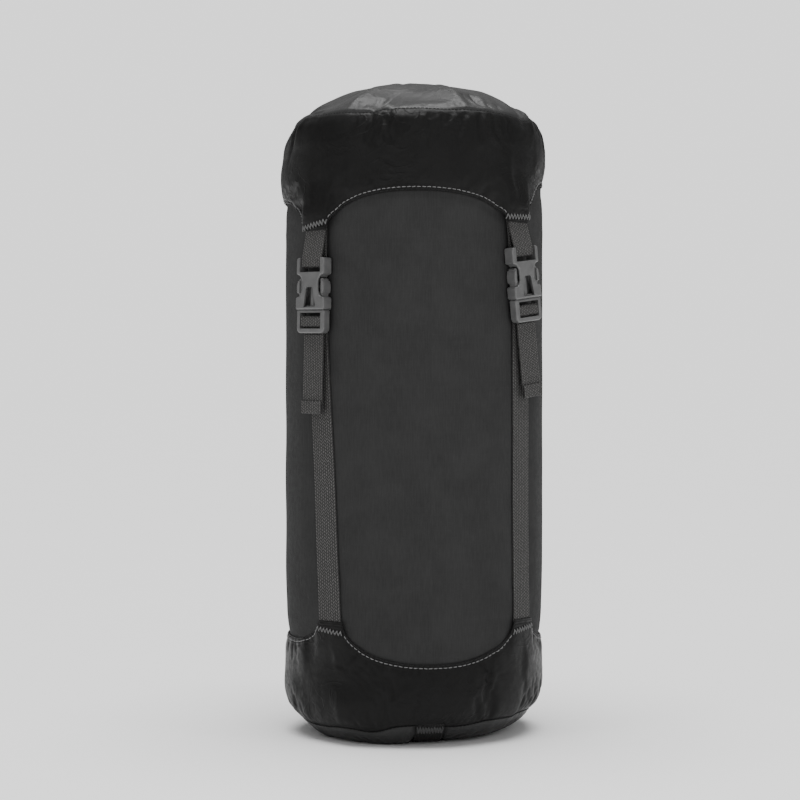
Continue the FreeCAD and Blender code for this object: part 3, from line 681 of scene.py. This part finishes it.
def make_lower_strap(name):
    """The long webbing from under the base's tab up to the buckle."""
    angle, lock = STATIONS[name][:2]
    z = np.linspace(66, lock - 0.2, int((lock - 66) / 0.42))
    phi = strap_phi(name, z)
    free = 1 - smoothstep(z, lock - 40, lock)
    radius = STRAP_OUT - 0.35 - 0.5 * smoothstep(z, 92, 120) * free
    wander = 0.25 * np.sin(z / 19 + angle) * smoothstep(z, 90, 130) * free
    around = np.stack([np.cos(phi), np.sin(phi), 0 * phi], -1)
    centres = on_circle(radius, phi, z) + around * wander[:, None]
    direction = unit(np.gradient(centres, axis=0))
    outward = on_circle(1.0, phi, 0 * phi)
    across = unit(np.cross(direction, outward))
    across *= np.sign((across * around).sum(1))[:, None]
    piece_name = f"strap_webbing_{name}"
    strap = webbing(piece_name, centres, across, outward, bow=1 / 97.0, knit=(10, 2.2), both=False)
    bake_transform(strap)
    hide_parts(f"lower_strap_{name}")
    return strap


def make_straps(name):
    """The lower strap, the webbing through the ladder frame, the loop to the lid and the hanging tail."""
    _, lock, tab, tail, _ = STATIONS[name]
    beside = WEB / 2 + GAP
    strap = make_lower_strap(name)

    top = lock + CENTRE_BAR_TOP + beside
    front = BUCKLE_OUT + CENTRE_BAR_HALF + beside
    wrap = station_webbing(
        name, f"wrap_webbing_{name}",
        [(STRAP_OUT, lock - 0.3), (STRAP_OUT, top), (front, top), (front, lock + 5.7), (TAIL_OUT, lock + 3.6),
         (TAIL_OUT, lock - 0.45)], [1.6, 1.6, 1.2, 1.2], 1)
    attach(wrap, "lid")
    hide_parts(f"strap_wrap_{name}")

    back = LID_WALL + beside
    under = lock + LOOP_SLOT_TOP - beside
    bar_front = BUCKLE_OUT + LOOP_BAR_HALF + beside
    doubled = back + WEB + GAP
    loop = station_webbing(
        name, f"loop_webbing_{name}",
        [(back, tab + 11), (back, under), (bar_front, under), (bar_front, lock + LOOP_TOP),
         (doubled, tab - 2), (doubled, tab + 11)], [1.5, 1.5, 3.0, 3.0], 1)
    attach(loop, "lid")
    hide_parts(f"strap_loop_{name}")

    low, folded = lock - tail + WEB / 2, TAIL_OUT + WEB + GAP
    end = station_webbing(
        name, f"tail_webbing_{name}",
        [(TAIL_OUT, lock - 0.6), (TAIL_OUT, low), (folded, low), (folded, low + 8.6)],
        [0.69, 0.69], -1, round_start=True)
    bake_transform(end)
    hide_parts(f"tail_{name}", f"tail_hem_{name}")
    return [strap, wrap, loop, end]


# ------------------------------------------------------------------------------
# Thread


def thread_tube(path, radius, sides=6):
    """Vertices and faces of one round thread along a path."""
    path = np.asarray(path, float)
    direction = np.gradient(path, axis=0)
    direction /= np.maximum(np.linalg.norm(direction, axis=1, keepdims=True), 1e-9)
    helper = np.array([0.0, 0.0, 1.0]) if abs(direction[0][2]) < 0.9 else np.array([1.0, 0.0, 0.0])
    first = unit(np.cross(direction, helper))
    second = np.cross(direction, first)
    turn = np.linspace(0, TAU, sides, endpoint=False)
    size = np.broadcast_to(radius, (len(path),))[:, None, None]
    ring = path[:, None, :] + size * (first[:, None, :] * np.cos(turn)[None, :, None]
                                      + second[:, None, :] * np.sin(turn)[None, :, None])
    return ring.reshape(-1, 3), grid_faces(len(path), sides)


def join_threads(name, threads, body):
    points, faces, offset = [], [], 0
    for vertices, quads in threads:
        points.append(vertices)
        faces.append(quads + offset)
        offset += len(vertices)
    piece = add_mesh(name, np.concatenate(points), np.concatenate(faces).tolist())
    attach(piece, body)
    return piece


def stitches_along(path, out, length, gap, radius, seed, sink=0.28, turn=None):
    """Separate stitches along a path with known outward directions, left out on the tabs of that turn."""
    rng = np.random.default_rng(seed)
    d = steps_along(path)
    found, at = [], 0.0
    while at + length < d[-1]:
        size = length * rng.uniform(0.92, 1.08)
        t = np.linspace(0, 1, 7)
        here = at + t * size
        at += size + gap
        centre, normal = (np.stack([np.interp(here, d, column) for column in line.T], -1)
                          for line in (path, out))
        if turn is not None and on_tab(centre[3], turn):
            continue
        rise = radius * 1.1 - (sink + radius) * np.abs(2 * t - 1) ** 4
        skew = rng.uniform(-0.12, 0.12)
        side = np.cross(normal[3], centre[-1] - centre[0])
        side /= max(np.linalg.norm(side), 1e-9)
        centre = centre + normal * rise[:, None] + side * (skew * (2 * t - 1))[:, None]
        found.append(thread_tube(centre, radius * (1 - 0.25 * np.abs(2 * t - 1) ** 3)))
    return found


def on_tab(place, turn):
    phi = math.atan2(place[0], -place[1])
    return any(abs(degrees_from(phi, station[0] + turn)) < TAB_HALF for station in STATIONS.values())


def edge_path(row):
    """Dense points and outward directions along an edge round the sack, whose distance along and lift the
    row gives for any angles. It starts at the back."""
    phi = np.linspace(math.pi, 3 * math.pi, 1500)
    s, lift = row(phi)
    path = surface(phi, s, lift)
    return path, surface(phi, s, lift + 1.0) - path


def lid_row(phi, distance):
    s = along_at(lid_edge(phi)) - distance
    return s, lid_lift(height_at(s), lid_edge(phi), phi) - 0.25


def base_row(phi, distance):
    s = along_at(base_edge(phi)) + distance
    return s, CUP_LIFT - 0.25 + cup_lift(phi, height_at(s))


def hem_stitches():
    """A light and a dark row of stitches along each scalloped hem. Both rows are real stitching; the dark
    row's black thread is painted shade, for the shadow along the hem's edge.
    """
    dark_dip, light_dip = HEM_DIPS
    seed = 1
    for hem, body, row, turn in (("lid", "lid", lid_row, LID_TURN), ("base", "sack", base_row, BASE_TURN)):
        for ending, slot, dip, radius in (("", "thread", light_dip, 0.34),
                                          # the dark row's black thread is painted shade at the hem's edge
                                          ("_dark", "binding", dark_dip, 0.26)):
            path, out = edge_path(lambda phi: row(phi, dip))
            threads = stitches_along(path, out, 2.6, 0.95, radius, seed, turn=turn)
            join_threads(f"{hem}_hem_stitches{ending}", threads, body)
            seed += 1


def seam_stitches():
    for name, s, body, lift, seed in (("lid", TOP, "lid", 1.0, 5), ("base", BASE, "sack", 0.6, 6)):
        path, out = edge_path(lambda phi: (s, lift))
        threads = stitches_along(path, out, 2.2, 0.5, 0.34, seed)
        piece = join_threads(f"{name}_seam_stitches", threads, body)
        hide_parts(f"{name}_seam_binding")


def zigzag(centre, across, up, out, length, height, pitch, radius, seed):
    """A bar tack: one thread that goes up and down along a line."""
    rng = np.random.default_rng(seed)
    corners = []
    for i in range(int(length / pitch) + 1):
        y = (height / 2) * (1 if i % 2 else -1) * rng.uniform(0.9, 1.05)
        corners.append(np.array([-length / 2 + i * pitch, y, 0.0]))
    dense = []
    for a, b in zip(corners, corners[1:]):
        for t in np.linspace(0, 1, 6, endpoint=False):
            p = a + (b - a) * t
            p[2] = radius * 0.9 * math.sin(math.pi * t) + 0.05
            dense.append(p)
    return thread_tube(place_on(np.array(dense), centre, across, up, out), radius)


def place_on(local, centre, across, up, out):
    """Lays flat (across, up, out) points on the skin round a centre: its angle, its distance along, and the
    lift there as a function."""
    phi0, s0, lift = centre
    radius = WALL + 3
    phi = phi0 + (local[:, 0] * across[0] + local[:, 1] * up[0]) / radius
    s = s0 - (local[:, 0] * across[1] + local[:, 1] * up[1])
    return surface(phi, s, lift(phi, height_at(s)) + local[:, 2] + out)


def bar_tacks():
    """The zigzag across each tab, on the lid and on the base. Each leans its own way, in degrees."""
    def lid_at(phi, z):
        return lid_lift(z, lid_edge(phi), phi)

    def base_at(phi, z):
        return CUP_LIFT + cup_lift(phi, z)

    lid_leans, base_leans = (9, 2, 4, 3), (-6, 8, 2, -3)
    for hem, body, turn, lift, leans, length, height, seed in (
            ("lid", "lid", LID_TURN, lid_at, lid_leans, 25.5, 3.6, 10),
            ("base", "sack", BASE_TURN, base_at, base_leans, 25.0, 3.2, 20)):
        threads = []
        for k, (angle, _, tab, _, _) in enumerate(STATIONS.values()):
            lean = math.radians(leans[k])
            across, up = (math.cos(lean), math.sin(lean)), (-math.sin(lean), math.cos(lean))
            z = tab + 4.0 if hem == "lid" else BASE_TAB_TOP - 7.0
            centre = (math.radians(angle + turn), float(along_at(z)), lift)
            threads.append(zigzag(centre, across, up, 0.1, length, height, 1.5, 0.42, seed + k))
        piece = join_threads(f"{hem}_bar_tacks", threads, body)
        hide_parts(f"{hem}_bartacks")


COLLAR_LOW, COLLAR_SHOULDER, NECK_TOP, HEM_TOP, NECK = 393.0, 407.0, 448.0, 460.6, 31.0
COLLAR_OUT = 88.0             # clear of the tube's tucks
MOUTH_COLUMNS = 420
PATCH_HALF, PATCH_LOW, PATCH_HIGH, PATCH_RISE = 7.0, 451.0, 458.0, 0.75
SLOT_HALF, SLOT_HEIGHT, SLOT_MIDDLE = 4.0, 1.0, 454.5


def pleats(phi, t):
    """How far the gathered collar's pleats stand out, from its wall (t 0) to the neck (t 1), where they
    are deepest."""
    depth = 0.25 + 1.35 * smoothstep(t, 0.1, 0.95)
    waves_round = ((31, 0.55, 0.4), (23, 0.45, 2.1), (47, 0.25, 4.0), (7, 0.25, 1.0))
    return depth * sum(size * np.sin(count * phi + turn) for count, size, turn in waves_round)


def make_collar():
    """The inner mouth's collar, gathered from the wall to a neck."""
    phi = np.linspace(0, TAU, MOUTH_COLUMNS + 1)
    lean = np.linspace(0, math.pi / 2, 52)[1:]
    wall = np.linspace(COLLAR_LOW, COLLAR_SHOULDER, 7)
    r = np.r_[0 * wall + COLLAR_OUT, NECK + (COLLAR_OUT - NECK) * np.cos(lean) ** 0.8]
    z = np.r_[wall, COLLAR_SHOULDER + (NECK_TOP - COLLAR_SHOULDER) * np.sin(lean) ** 0.9]
    t = np.r_[0 * wall, np.arange(1, len(lean) + 1) / len(lean)][:, None]
    along = steps_along(np.stack([r, z], -1))
    r, z = r[:, None], z[:, None]
    radius = r + pleats(phi[None], t) * np.minimum(1, (r - 24) / 20)
    points = on_circle(radius, phi[None], z + 0.6 * pleats(phi[None] + 0.07, t))
    collar = grid_piece("mouth_collar_fabric", points[:, :-1], phi[None] * COLLAR_OUT, along[:, None])
    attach(collar, "mouth")
    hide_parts("mouth_collar")
    return collar


def make_mouth_hem():
    """The hem round the neck, a flattened ring that holds the cord's channel."""
    phi = np.linspace(0, TAU, MOUTH_COLUMNS + 1)
    turn = np.linspace(0, TAU, 29)[:-1]
    half_wide, half_tall, corner = 2.0, (HEM_TOP - NECK_TOP) / 2, 0.55
    wide = half_wide * np.sign(np.cos(turn)) * np.abs(np.cos(turn)) ** corner
    tall = half_tall * np.sign(np.sin(turn)) * np.abs(np.sin(turn)) ** corner
    low = smoothstep(-tall, -half_tall, half_tall)[:, None]
    ring = NECK - half_wide + wide[:, None] + 0.35 * low * pleats(phi[None], 1.0) - 0.25 * (1 - low)
    level = NECK_TOP + half_tall + tall[:, None] + 0.25 * np.sin(5 * phi[None] + 1.0)
    points = on_circle(ring, phi[None], level)
    points = np.concatenate([points, points[:1]])[:, :-1]
    along = np.arange(len(turn) + 1) * 1.15
    hem = grid_piece("mouth_hem_fabric", points, phi[None] * NECK, along[:, None])
    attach(hem, "mouth")
    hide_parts("mouth_hem")
    return hem


def make_exit_patch():
    """The patch on the hem round the slot where the drawcord comes out."""
    edge = np.linspace(0, TAU, 73)
    slot = np.stack([SLOT_HALF * np.cos(edge), SLOT_HEIGHT * np.sin(edge)], -1)
    half = np.array([PATCH_HALF, (PATCH_HIGH - PATCH_LOW) / 2])
    square = np.stack([np.cos(edge), np.sin(edge)], -1)
    outline = half * np.sign(square) * np.abs(square) ** 0.35
    steps = np.linspace(0, 1, 12)[:, None, None]
    local = slot + (outline - slot) * steps
    out = NECK + PATCH_RISE - 0.5 * smoothstep(steps[..., 0], 0.86, 1.0)
    points = on_circle(out, local[..., 0] / NECK, SLOT_MIDDLE + local[..., 1])
    patch = grid_piece("cord_exit_patch_fabric", points[:, :-1], local[..., 0], local[..., 1])
    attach(patch, "mouth")
    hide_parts("cord_exit_patch")
    return patch


def make_mouth():
    """The inner mouth under the lid: its collar, its hem and the patch at the cord's exit."""
    pieces = make_collar(), make_mouth_hem(), make_exit_patch()
    make_mouth_stitches()
    return pieces


def make_mouth_stitches():
    """A row of stitches under the hem's channel, and the buttonhole's threads round the cord's exit."""
    phi = np.linspace(math.pi, 3 * math.pi, 700)
    path = on_circle(NECK + 0.35 * pleats(phi, 1.0), phi, 449.4 + 0.25 * np.sin(5 * phi + 1.0))
    threads = stitches_along(path, on_circle(1.0, phi, 0 * phi), 2.4, 0.9, 0.3, 50, sink=0.1)
    join_threads("mouth_hem_stitches", threads, "mouth")
    threads = []
    t = np.linspace(0, 1, 7)
    for turn in np.linspace(0, TAU, 34, endpoint=False):
        x = (SLOT_HALF - 0.1 + 1.1 * t) * math.cos(turn)
        y = (SLOT_HEIGHT + 1.1 * t) * math.sin(turn)
        line = on_circle(NECK + PATCH_RISE + 0.28 * np.sin(math.pi * t), x / NECK, SLOT_MIDDLE + y)
        threads.append(thread_tube(line, 0.26))
    join_threads("cord_exit_stitches", threads, "mouth")


def make_handle():
    """The grab handle's webbing across the base, and the zigzags that hold its ends."""
    centre_out, radius = 94.4 - CORNER, CORNER - 0.1 - WEB / 2
    lean = math.asin((CORNER - 17.5) / (CORNER - 0.1 - WEB))
    angles = np.linspace(lean, math.pi / 2, 60)
    out, up = -centre_out - radius * np.cos(angles), CORNER - radius * np.sin(angles)
    front = np.stack([0 * angles, out, up], -1)
    back = front[::-1] * [1, -1, 1]
    path, _ = resample(np.concatenate([front, back]), 0.5)
    direction = unit(np.gradient(path, axis=0))
    across = np.tile([1.0, 0, 0], (len(path), 1))
    normal = np.cross(across, direction)
    normal *= np.sign(normal[len(path) // 2][2]) * -1
    strip = webbing("handle_webbing", path, across, normal)
    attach(strip, "sack")
    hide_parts("base_handle")
    threads = []
    for end, sign in ((0, 1), (-1, -1)):
        middle = 11 if sign > 0 else len(path) - 12
        at, along, outward = path[middle], direction[middle] * sign, normal[middle]
        rng = np.random.default_rng(40 + end)
        for row in range(2):
            line = []
            count = 19
            for i in range(count):
                x = -9 + i * 1.0
                y = (3.6 if i % 2 else -3.6) * rng.uniform(0.8, 1.15) + 0.4 * row
                rise = WEB / 2 + 0.12 + 0.2 * row
                line.append(at + np.array([1.0, 0, 0]) * (x + 0.5 * row) + along * y + outward * rise)
            line, _ = resample(np.array(line), 0.8)
            threads.append(thread_tube(line, 0.3))
    piece = join_threads("handle_tack_stitches", threads, "sack")
    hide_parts("handle_bartacks")
    return strip


# ------------------------------------------------------------------------------
# Materials


class Nodes:
    """A short way to write a material's nodes."""

    def __init__(self, name):
        self.material = bpy.data.materials.new(name)
        self.material.use_nodes = True
        self.tree = self.material.node_tree
        self.shader = self.tree.nodes["Principled BSDF"]

    def connect(self, socket, value):
        if isinstance(value, bpy.types.NodeSocket):
            self.tree.links.new(value, socket)
        else:
            socket.default_value = value

    def add(self, kind, inputs=None, **settings):
        node = self.tree.nodes.new(kind)
        for key, value in settings.items():
            setattr(node, key, value)
        for key, value in (inputs or {}).items():
            self.connect(node.inputs[key], value)
        return node

    def math(self, operation, a, b=0.0, c=0.0):
        return self.add("ShaderNodeMath", {0: a, 1: b, 2: c}, operation=operation).outputs[0]

    def ramp(self, value, low, high, to_low=0.0, to_high=1.0):
        node = self.add("ShaderNodeMapRange", {"Value": value, "From Min": low, "From Max": high,
                                               "To Min": to_low, "To Max": to_high},
                        interpolation_type="SMOOTHSTEP")
        return node.outputs[0]

    def noise(self, vector, scale, detail=2.0, rough=0.5, distortion=0.0):
        node = self.add("ShaderNodeTexNoise", {"Vector": vector, "Scale": scale, "Detail": detail,
                                               "Roughness": rough, "Distortion": distortion})
        return node.outputs[0]

    def mix(self, factor, a, b):
        node = self.add("ShaderNodeMix", data_type="RGBA")
        for number, value in ((0, factor), (6, a), (7, b)):
            self.connect(node.inputs[number], value)
        return node.outputs[2]

    def bump(self, height, strength, distance, normal=None):
        inputs = {"Height": height, "Strength": strength, "Distance": distance}
        if normal is not None:
            inputs["Normal"] = normal
        return self.add("ShaderNodeBump", inputs).outputs[0]

    def set(self, **inputs):
        for key, value in inputs.items():
            self.connect(self.shader.inputs[key.replace("_", " ")], value)


def grey(value, warm=0.0):
    return (value * (1 + warm), value, value * (1 - warm), 1.0)


def nylon(name, value, roughness, crinkle, specular, warm=0.0, ripstop=0.0, streaks=0.0):
    """Coated nylon: a fine weave, soft crinkles and thin pressed creases."""
    n = Nodes(name)
    uv = n.add("ShaderNodeUVMap", uv_map="cloth").outputs[0]
    parts = n.add("ShaderNodeSeparateXYZ", {0: uv}).outputs
    soft = n.noise(uv, 34, 3, 0.55, 0.4)
    fold = n.noise(uv, 62, 2, 0.45, 0.9)
    crease = n.ramp(n.math("ABSOLUTE", n.math("SUBTRACT", fold, 0.5)), 0.0, 0.055, 1.0, 0.0)
    patch = n.ramp(n.noise(uv, 15, 1), 0.44, 0.62)
    crease = n.math("MULTIPLY", crease, patch)
    small = n.noise(uv, 240, 2, 0.6)
    threads_u = n.math("SINE", n.math("MULTIPLY", parts[0], TAU / 0.0007))
    threads_v = n.math("SINE", n.math("MULTIPLY", parts[1], TAU / 0.0007))
    weave = n.math("MULTIPLY", threads_u, threads_v)
    normal = n.bump(soft, crinkle, 0.0040)
    normal = n.bump(crease, crinkle * 0.65, 0.0007, normal)
    normal = n.bump(small, crinkle * 0.5, 0.0006, normal)
    normal = n.bump(weave, 0.20, 0.00008, normal)
    colour = n.mix(n.ramp(soft, 0.3, 0.7), grey(value * 0.92, warm), grey(value * 1.08, warm))
    if streaks:
        stretched = n.add("ShaderNodeVectorMath", {0: uv, 1: (1100.0, 90.0, 1.0)}, operation="MULTIPLY")
        run = n.noise(stretched.outputs[0], 1.0, 2, 0.6)
        colour = n.mix(n.ramp(run, 0.35, 0.68, 0.0, streaks), colour, grey(value * 1.5, warm))
    if ripstop:
        lines = [n.ramp(n.math("PINGPONG", part, 0.0026), 0.0001, 0.0004, 1.0, 0.0) for part in parts[:2]]
        lines = n.math("MAXIMUM", *lines)
        normal = n.bump(lines, ripstop, 0.0001, normal)
        colour = n.mix(n.math("MULTIPLY", lines, ripstop * 0.35), colour, grey(value * 1.35, warm))
    wear = n.ramp(small, 0.35, 0.7, roughness - 0.04, roughness + 0.06)
    n.set(Base_Color=colour, Roughness=wear, Normal=normal, Specular_IOR_Level=specular)
    return n.material


def webbing_material(name, value):
    n = Nodes(name)
    uv = n.add("ShaderNodeUVMap", uv_map="cloth").outputs[0]
    rib = n.add("ShaderNodeAttribute", attribute_name="rib").outputs["Fac"]
    fibre = n.add("ShaderNodeVectorMath", {0: uv, 1: (2600.0, 5200.0, 1.0)}, operation="MULTIPLY")
    fuzz = n.noise(fibre.outputs[0], 1.0, 3, 0.65)
    broad = n.noise(uv, 650, 2, 0.6)
    # Painted shade: by the rib height the colour goes near black in the grooves between the beads and along
    # the edges' dips, lighter on their tops
    colour = n.mix(n.ramp(rib, 0.25, 0.95), grey(0.009 * value, 0.02), grey(0.112 * value, 0.02))
    colour = n.mix(n.ramp(fuzz, 0.40, 0.75, 0.0, 0.5), colour, grey(0.17 * value, 0.02))
    colour = n.mix(n.ramp(broad, 0.42, 0.6, 0.0, 0.45), colour, grey(0.018 * value, 0.02))
    n.set(Base_Color=colour, Roughness=0.82, Specular_IOR_Level=0.25,
          Normal=n.bump(fuzz, 0.5, 0.0002))
    return n.material


def plastic_material():
    n = Nodes("buckle_plastic")
    place = n.add("ShaderNodeTexCoord").outputs["Object"]
    grain = n.noise(place, 2400, 2, 0.6)
    flow = n.noise(place, 160, 2, 0.5)
    scuff = n.ramp(n.noise(place, 700, 4, 0.7), 0.60, 0.72)
    colour = n.mix(n.ramp(flow, 0.3, 0.7), grey(0.074), grey(0.088))
    colour = n.mix(n.math("MULTIPLY", scuff, 0.3), colour, grey(0.15))
    rough = n.ramp(flow, 0.3, 0.7, 0.30, 0.40)
    n.set(Base_Color=colour, Roughness=rough, Specular_IOR_Level=0.6,
          Normal=n.bump(grain, 0.35, 0.00008))
    return n.material


def thread_material(name, value):
    n = Nodes(name)
    place = n.add("ShaderNodeTexCoord").outputs["Object"]
    twist = n.noise(place, 2600, 2, 0.6)
    n.set(Base_Color=n.mix(n.ramp(twist, 0.3, 0.7), grey(value * 0.65), grey(value * 1.25)), Roughness=0.7,
          Specular_IOR_Level=0.3, Normal=n.bump(twist, 0.4, 0.0002))
    return n.material


def floor_material():
    n = Nodes("studio_floor")
    place = n.add("ShaderNodeTexCoord").outputs["Object"]
    mottle = n.noise(place, 3, 2)
    n.set(Base_Color=n.mix(mottle, grey(0.93), grey(0.95)), Roughness=0.9, Specular_IOR_Level=0.1)
    return n.material


def give(piece, material):
    piece.data.materials.clear()
    piece.data.materials.append(material)


# ------------------------------------------------------------------------------
# Put together

tube, cup, skirt = make_tube(), make_cup(), make_skirt()
lid_disc, base_disc = make_discs()
straps = [piece for name in STATIONS for piece in make_straps(name)]
handle = make_handle()
collar, mouth_hem, exit_patch = make_mouth()
hem_stitches()
seam_stitches()
bar_tacks()

black = nylon("black_nylon", 0.0055, 0.42, 0.42, 0.13, warm=0.02)
give(tube, nylon("charcoal_nylon", 0.029, 0.68, 0.20, 0.05, ripstop=0.25, streaks=0.25))
give(cup, black)
give(skirt, black)
give(lid_disc, nylon("grey_nylon", 0.024, 0.42, 0.45, 0.27))
inner = nylon("inner_nylon", 0.029, 0.6, 0.3, 0.15)
give(collar, inner)
give(mouth_hem, black)
give(exit_patch, black)
give(base_disc, nylon("dark_grey_nylon", 0.022, 0.45, 0.4, 0.2))
woven = webbing_material("webbing", 1.0)
for strap in straps:
    give(strap, woven)
give(handle, webbing_material("black_webbing", 0.22))
thread = {kind: thread_material(f"{kind}_thread", value)
          for kind, value in (("light", 0.17), ("black", 0.008), ("tack", 0.115), ("handle", 0.055))}
for piece in [o for o in bpy.data.objects if o.type == "MESH"]:
    if "stitches" in piece.name or "bar_tacks" in piece.name:
        # the hems' dark rows get black thread as painted shade; the seams' black thread is their own
        dark = piece.name.endswith("dark") or "seam" in piece.name
        kinds = ("black", dark), ("handle", piece.name.startswith("handle")), ("tack", "tack" in piece.name)
        give(piece, thread[next((kind for kind, fits in kinds if fits), "light")])
plastic = plastic_material()
for name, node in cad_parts.items():
    if name.startswith(("buckle_", "prong_")):
        give(node, plastic)


def add_light(name, place, aim, size, power, tint=(1, 1, 1)):
    light = bpy.data.lights.new(name, "AREA")
    light.shape = "RECTANGLE"
    light.size, light.size_y = size
    light.energy = power
    light.color = tint
    lamp = bpy.data.objects.new(name, light)
    lamp.location = place
    lamp.rotation_euler = (Vector(aim) - Vector(place)).to_track_quat("-Z", "Y").to_euler()
    bpy.context.scene.collection.objects.link(lamp)


def studio():
    mesh = bpy.data.meshes.new("floor")
    mesh.from_pydata([(-40, -40, 0), (40, -40, 0), (40, 40, 0), (-40, 40, 0)], [], [(0, 1, 2, 3)])
    floor = bpy.data.objects.new("floor", mesh)
    bpy.context.scene.collection.objects.link(floor)
    floor.data.materials.append(floor_material())
    world = bpy.data.worlds.new("studio")
    world.use_nodes = True
    backdrop = world.node_tree.nodes["Background"]
    backdrop.inputs[0].default_value = (1, 1, 1, 1)
    seen = world.node_tree.nodes.new("ShaderNodeLightPath").outputs["Is Camera Ray"]
    brightness = world.node_tree.nodes.new("ShaderNodeMapRange")
    world.node_tree.links.new(seen, brightness.inputs["Value"])
    brightness.inputs["To Min"].default_value = 0.35
    brightness.inputs["To Max"].default_value = 1.5
    world.node_tree.links.new(brightness.outputs[0], backdrop.inputs[1])
    bpy.context.scene.world = world
    sun = bpy.data.lights.new("top_light", "SUN")
    sun.energy, sun.angle = 4.1, 0.9
    bpy.context.scene.collection.objects.link(bpy.data.objects.new("top_light", sun))
    add_light("left_light", (-1.3, -0.9, 0.9), (0, 0, 0.25), (0.25, 1.4), 3.0)
    add_light("right_light", (1.3, -1.0, 0.7), (0, 0, 0.25), (0.25, 1.2), 3.0)
    add_light("front_light", (0.5, -2.6, 1.3), (0, 0, 0.25), (1.4, 1.4), 10)


def main_camera(azimuth=-7.0, distance=1.4, height=0.242, aside=-0.0104, lens=85.1):
    camera = bpy.data.cameras.new("camera")
    camera.lens = lens
    camera.sensor_width = 36.0
    camera.clip_start = 0.05
    holder = bpy.data.objects.new("camera", camera)
    a = math.radians(azimuth)
    right = Vector((math.cos(a), math.sin(a), 0))
    back = Vector((math.sin(a), -math.cos(a), 0))
    holder.location = back * distance + right * aside + Vector((0, 0, height))
    holder.rotation_euler = (-back).to_track_quat("-Z", "Y").to_euler()
    bpy.context.scene.collection.objects.link(holder)
    bpy.context.scene.camera = holder


studio()
main_camera()
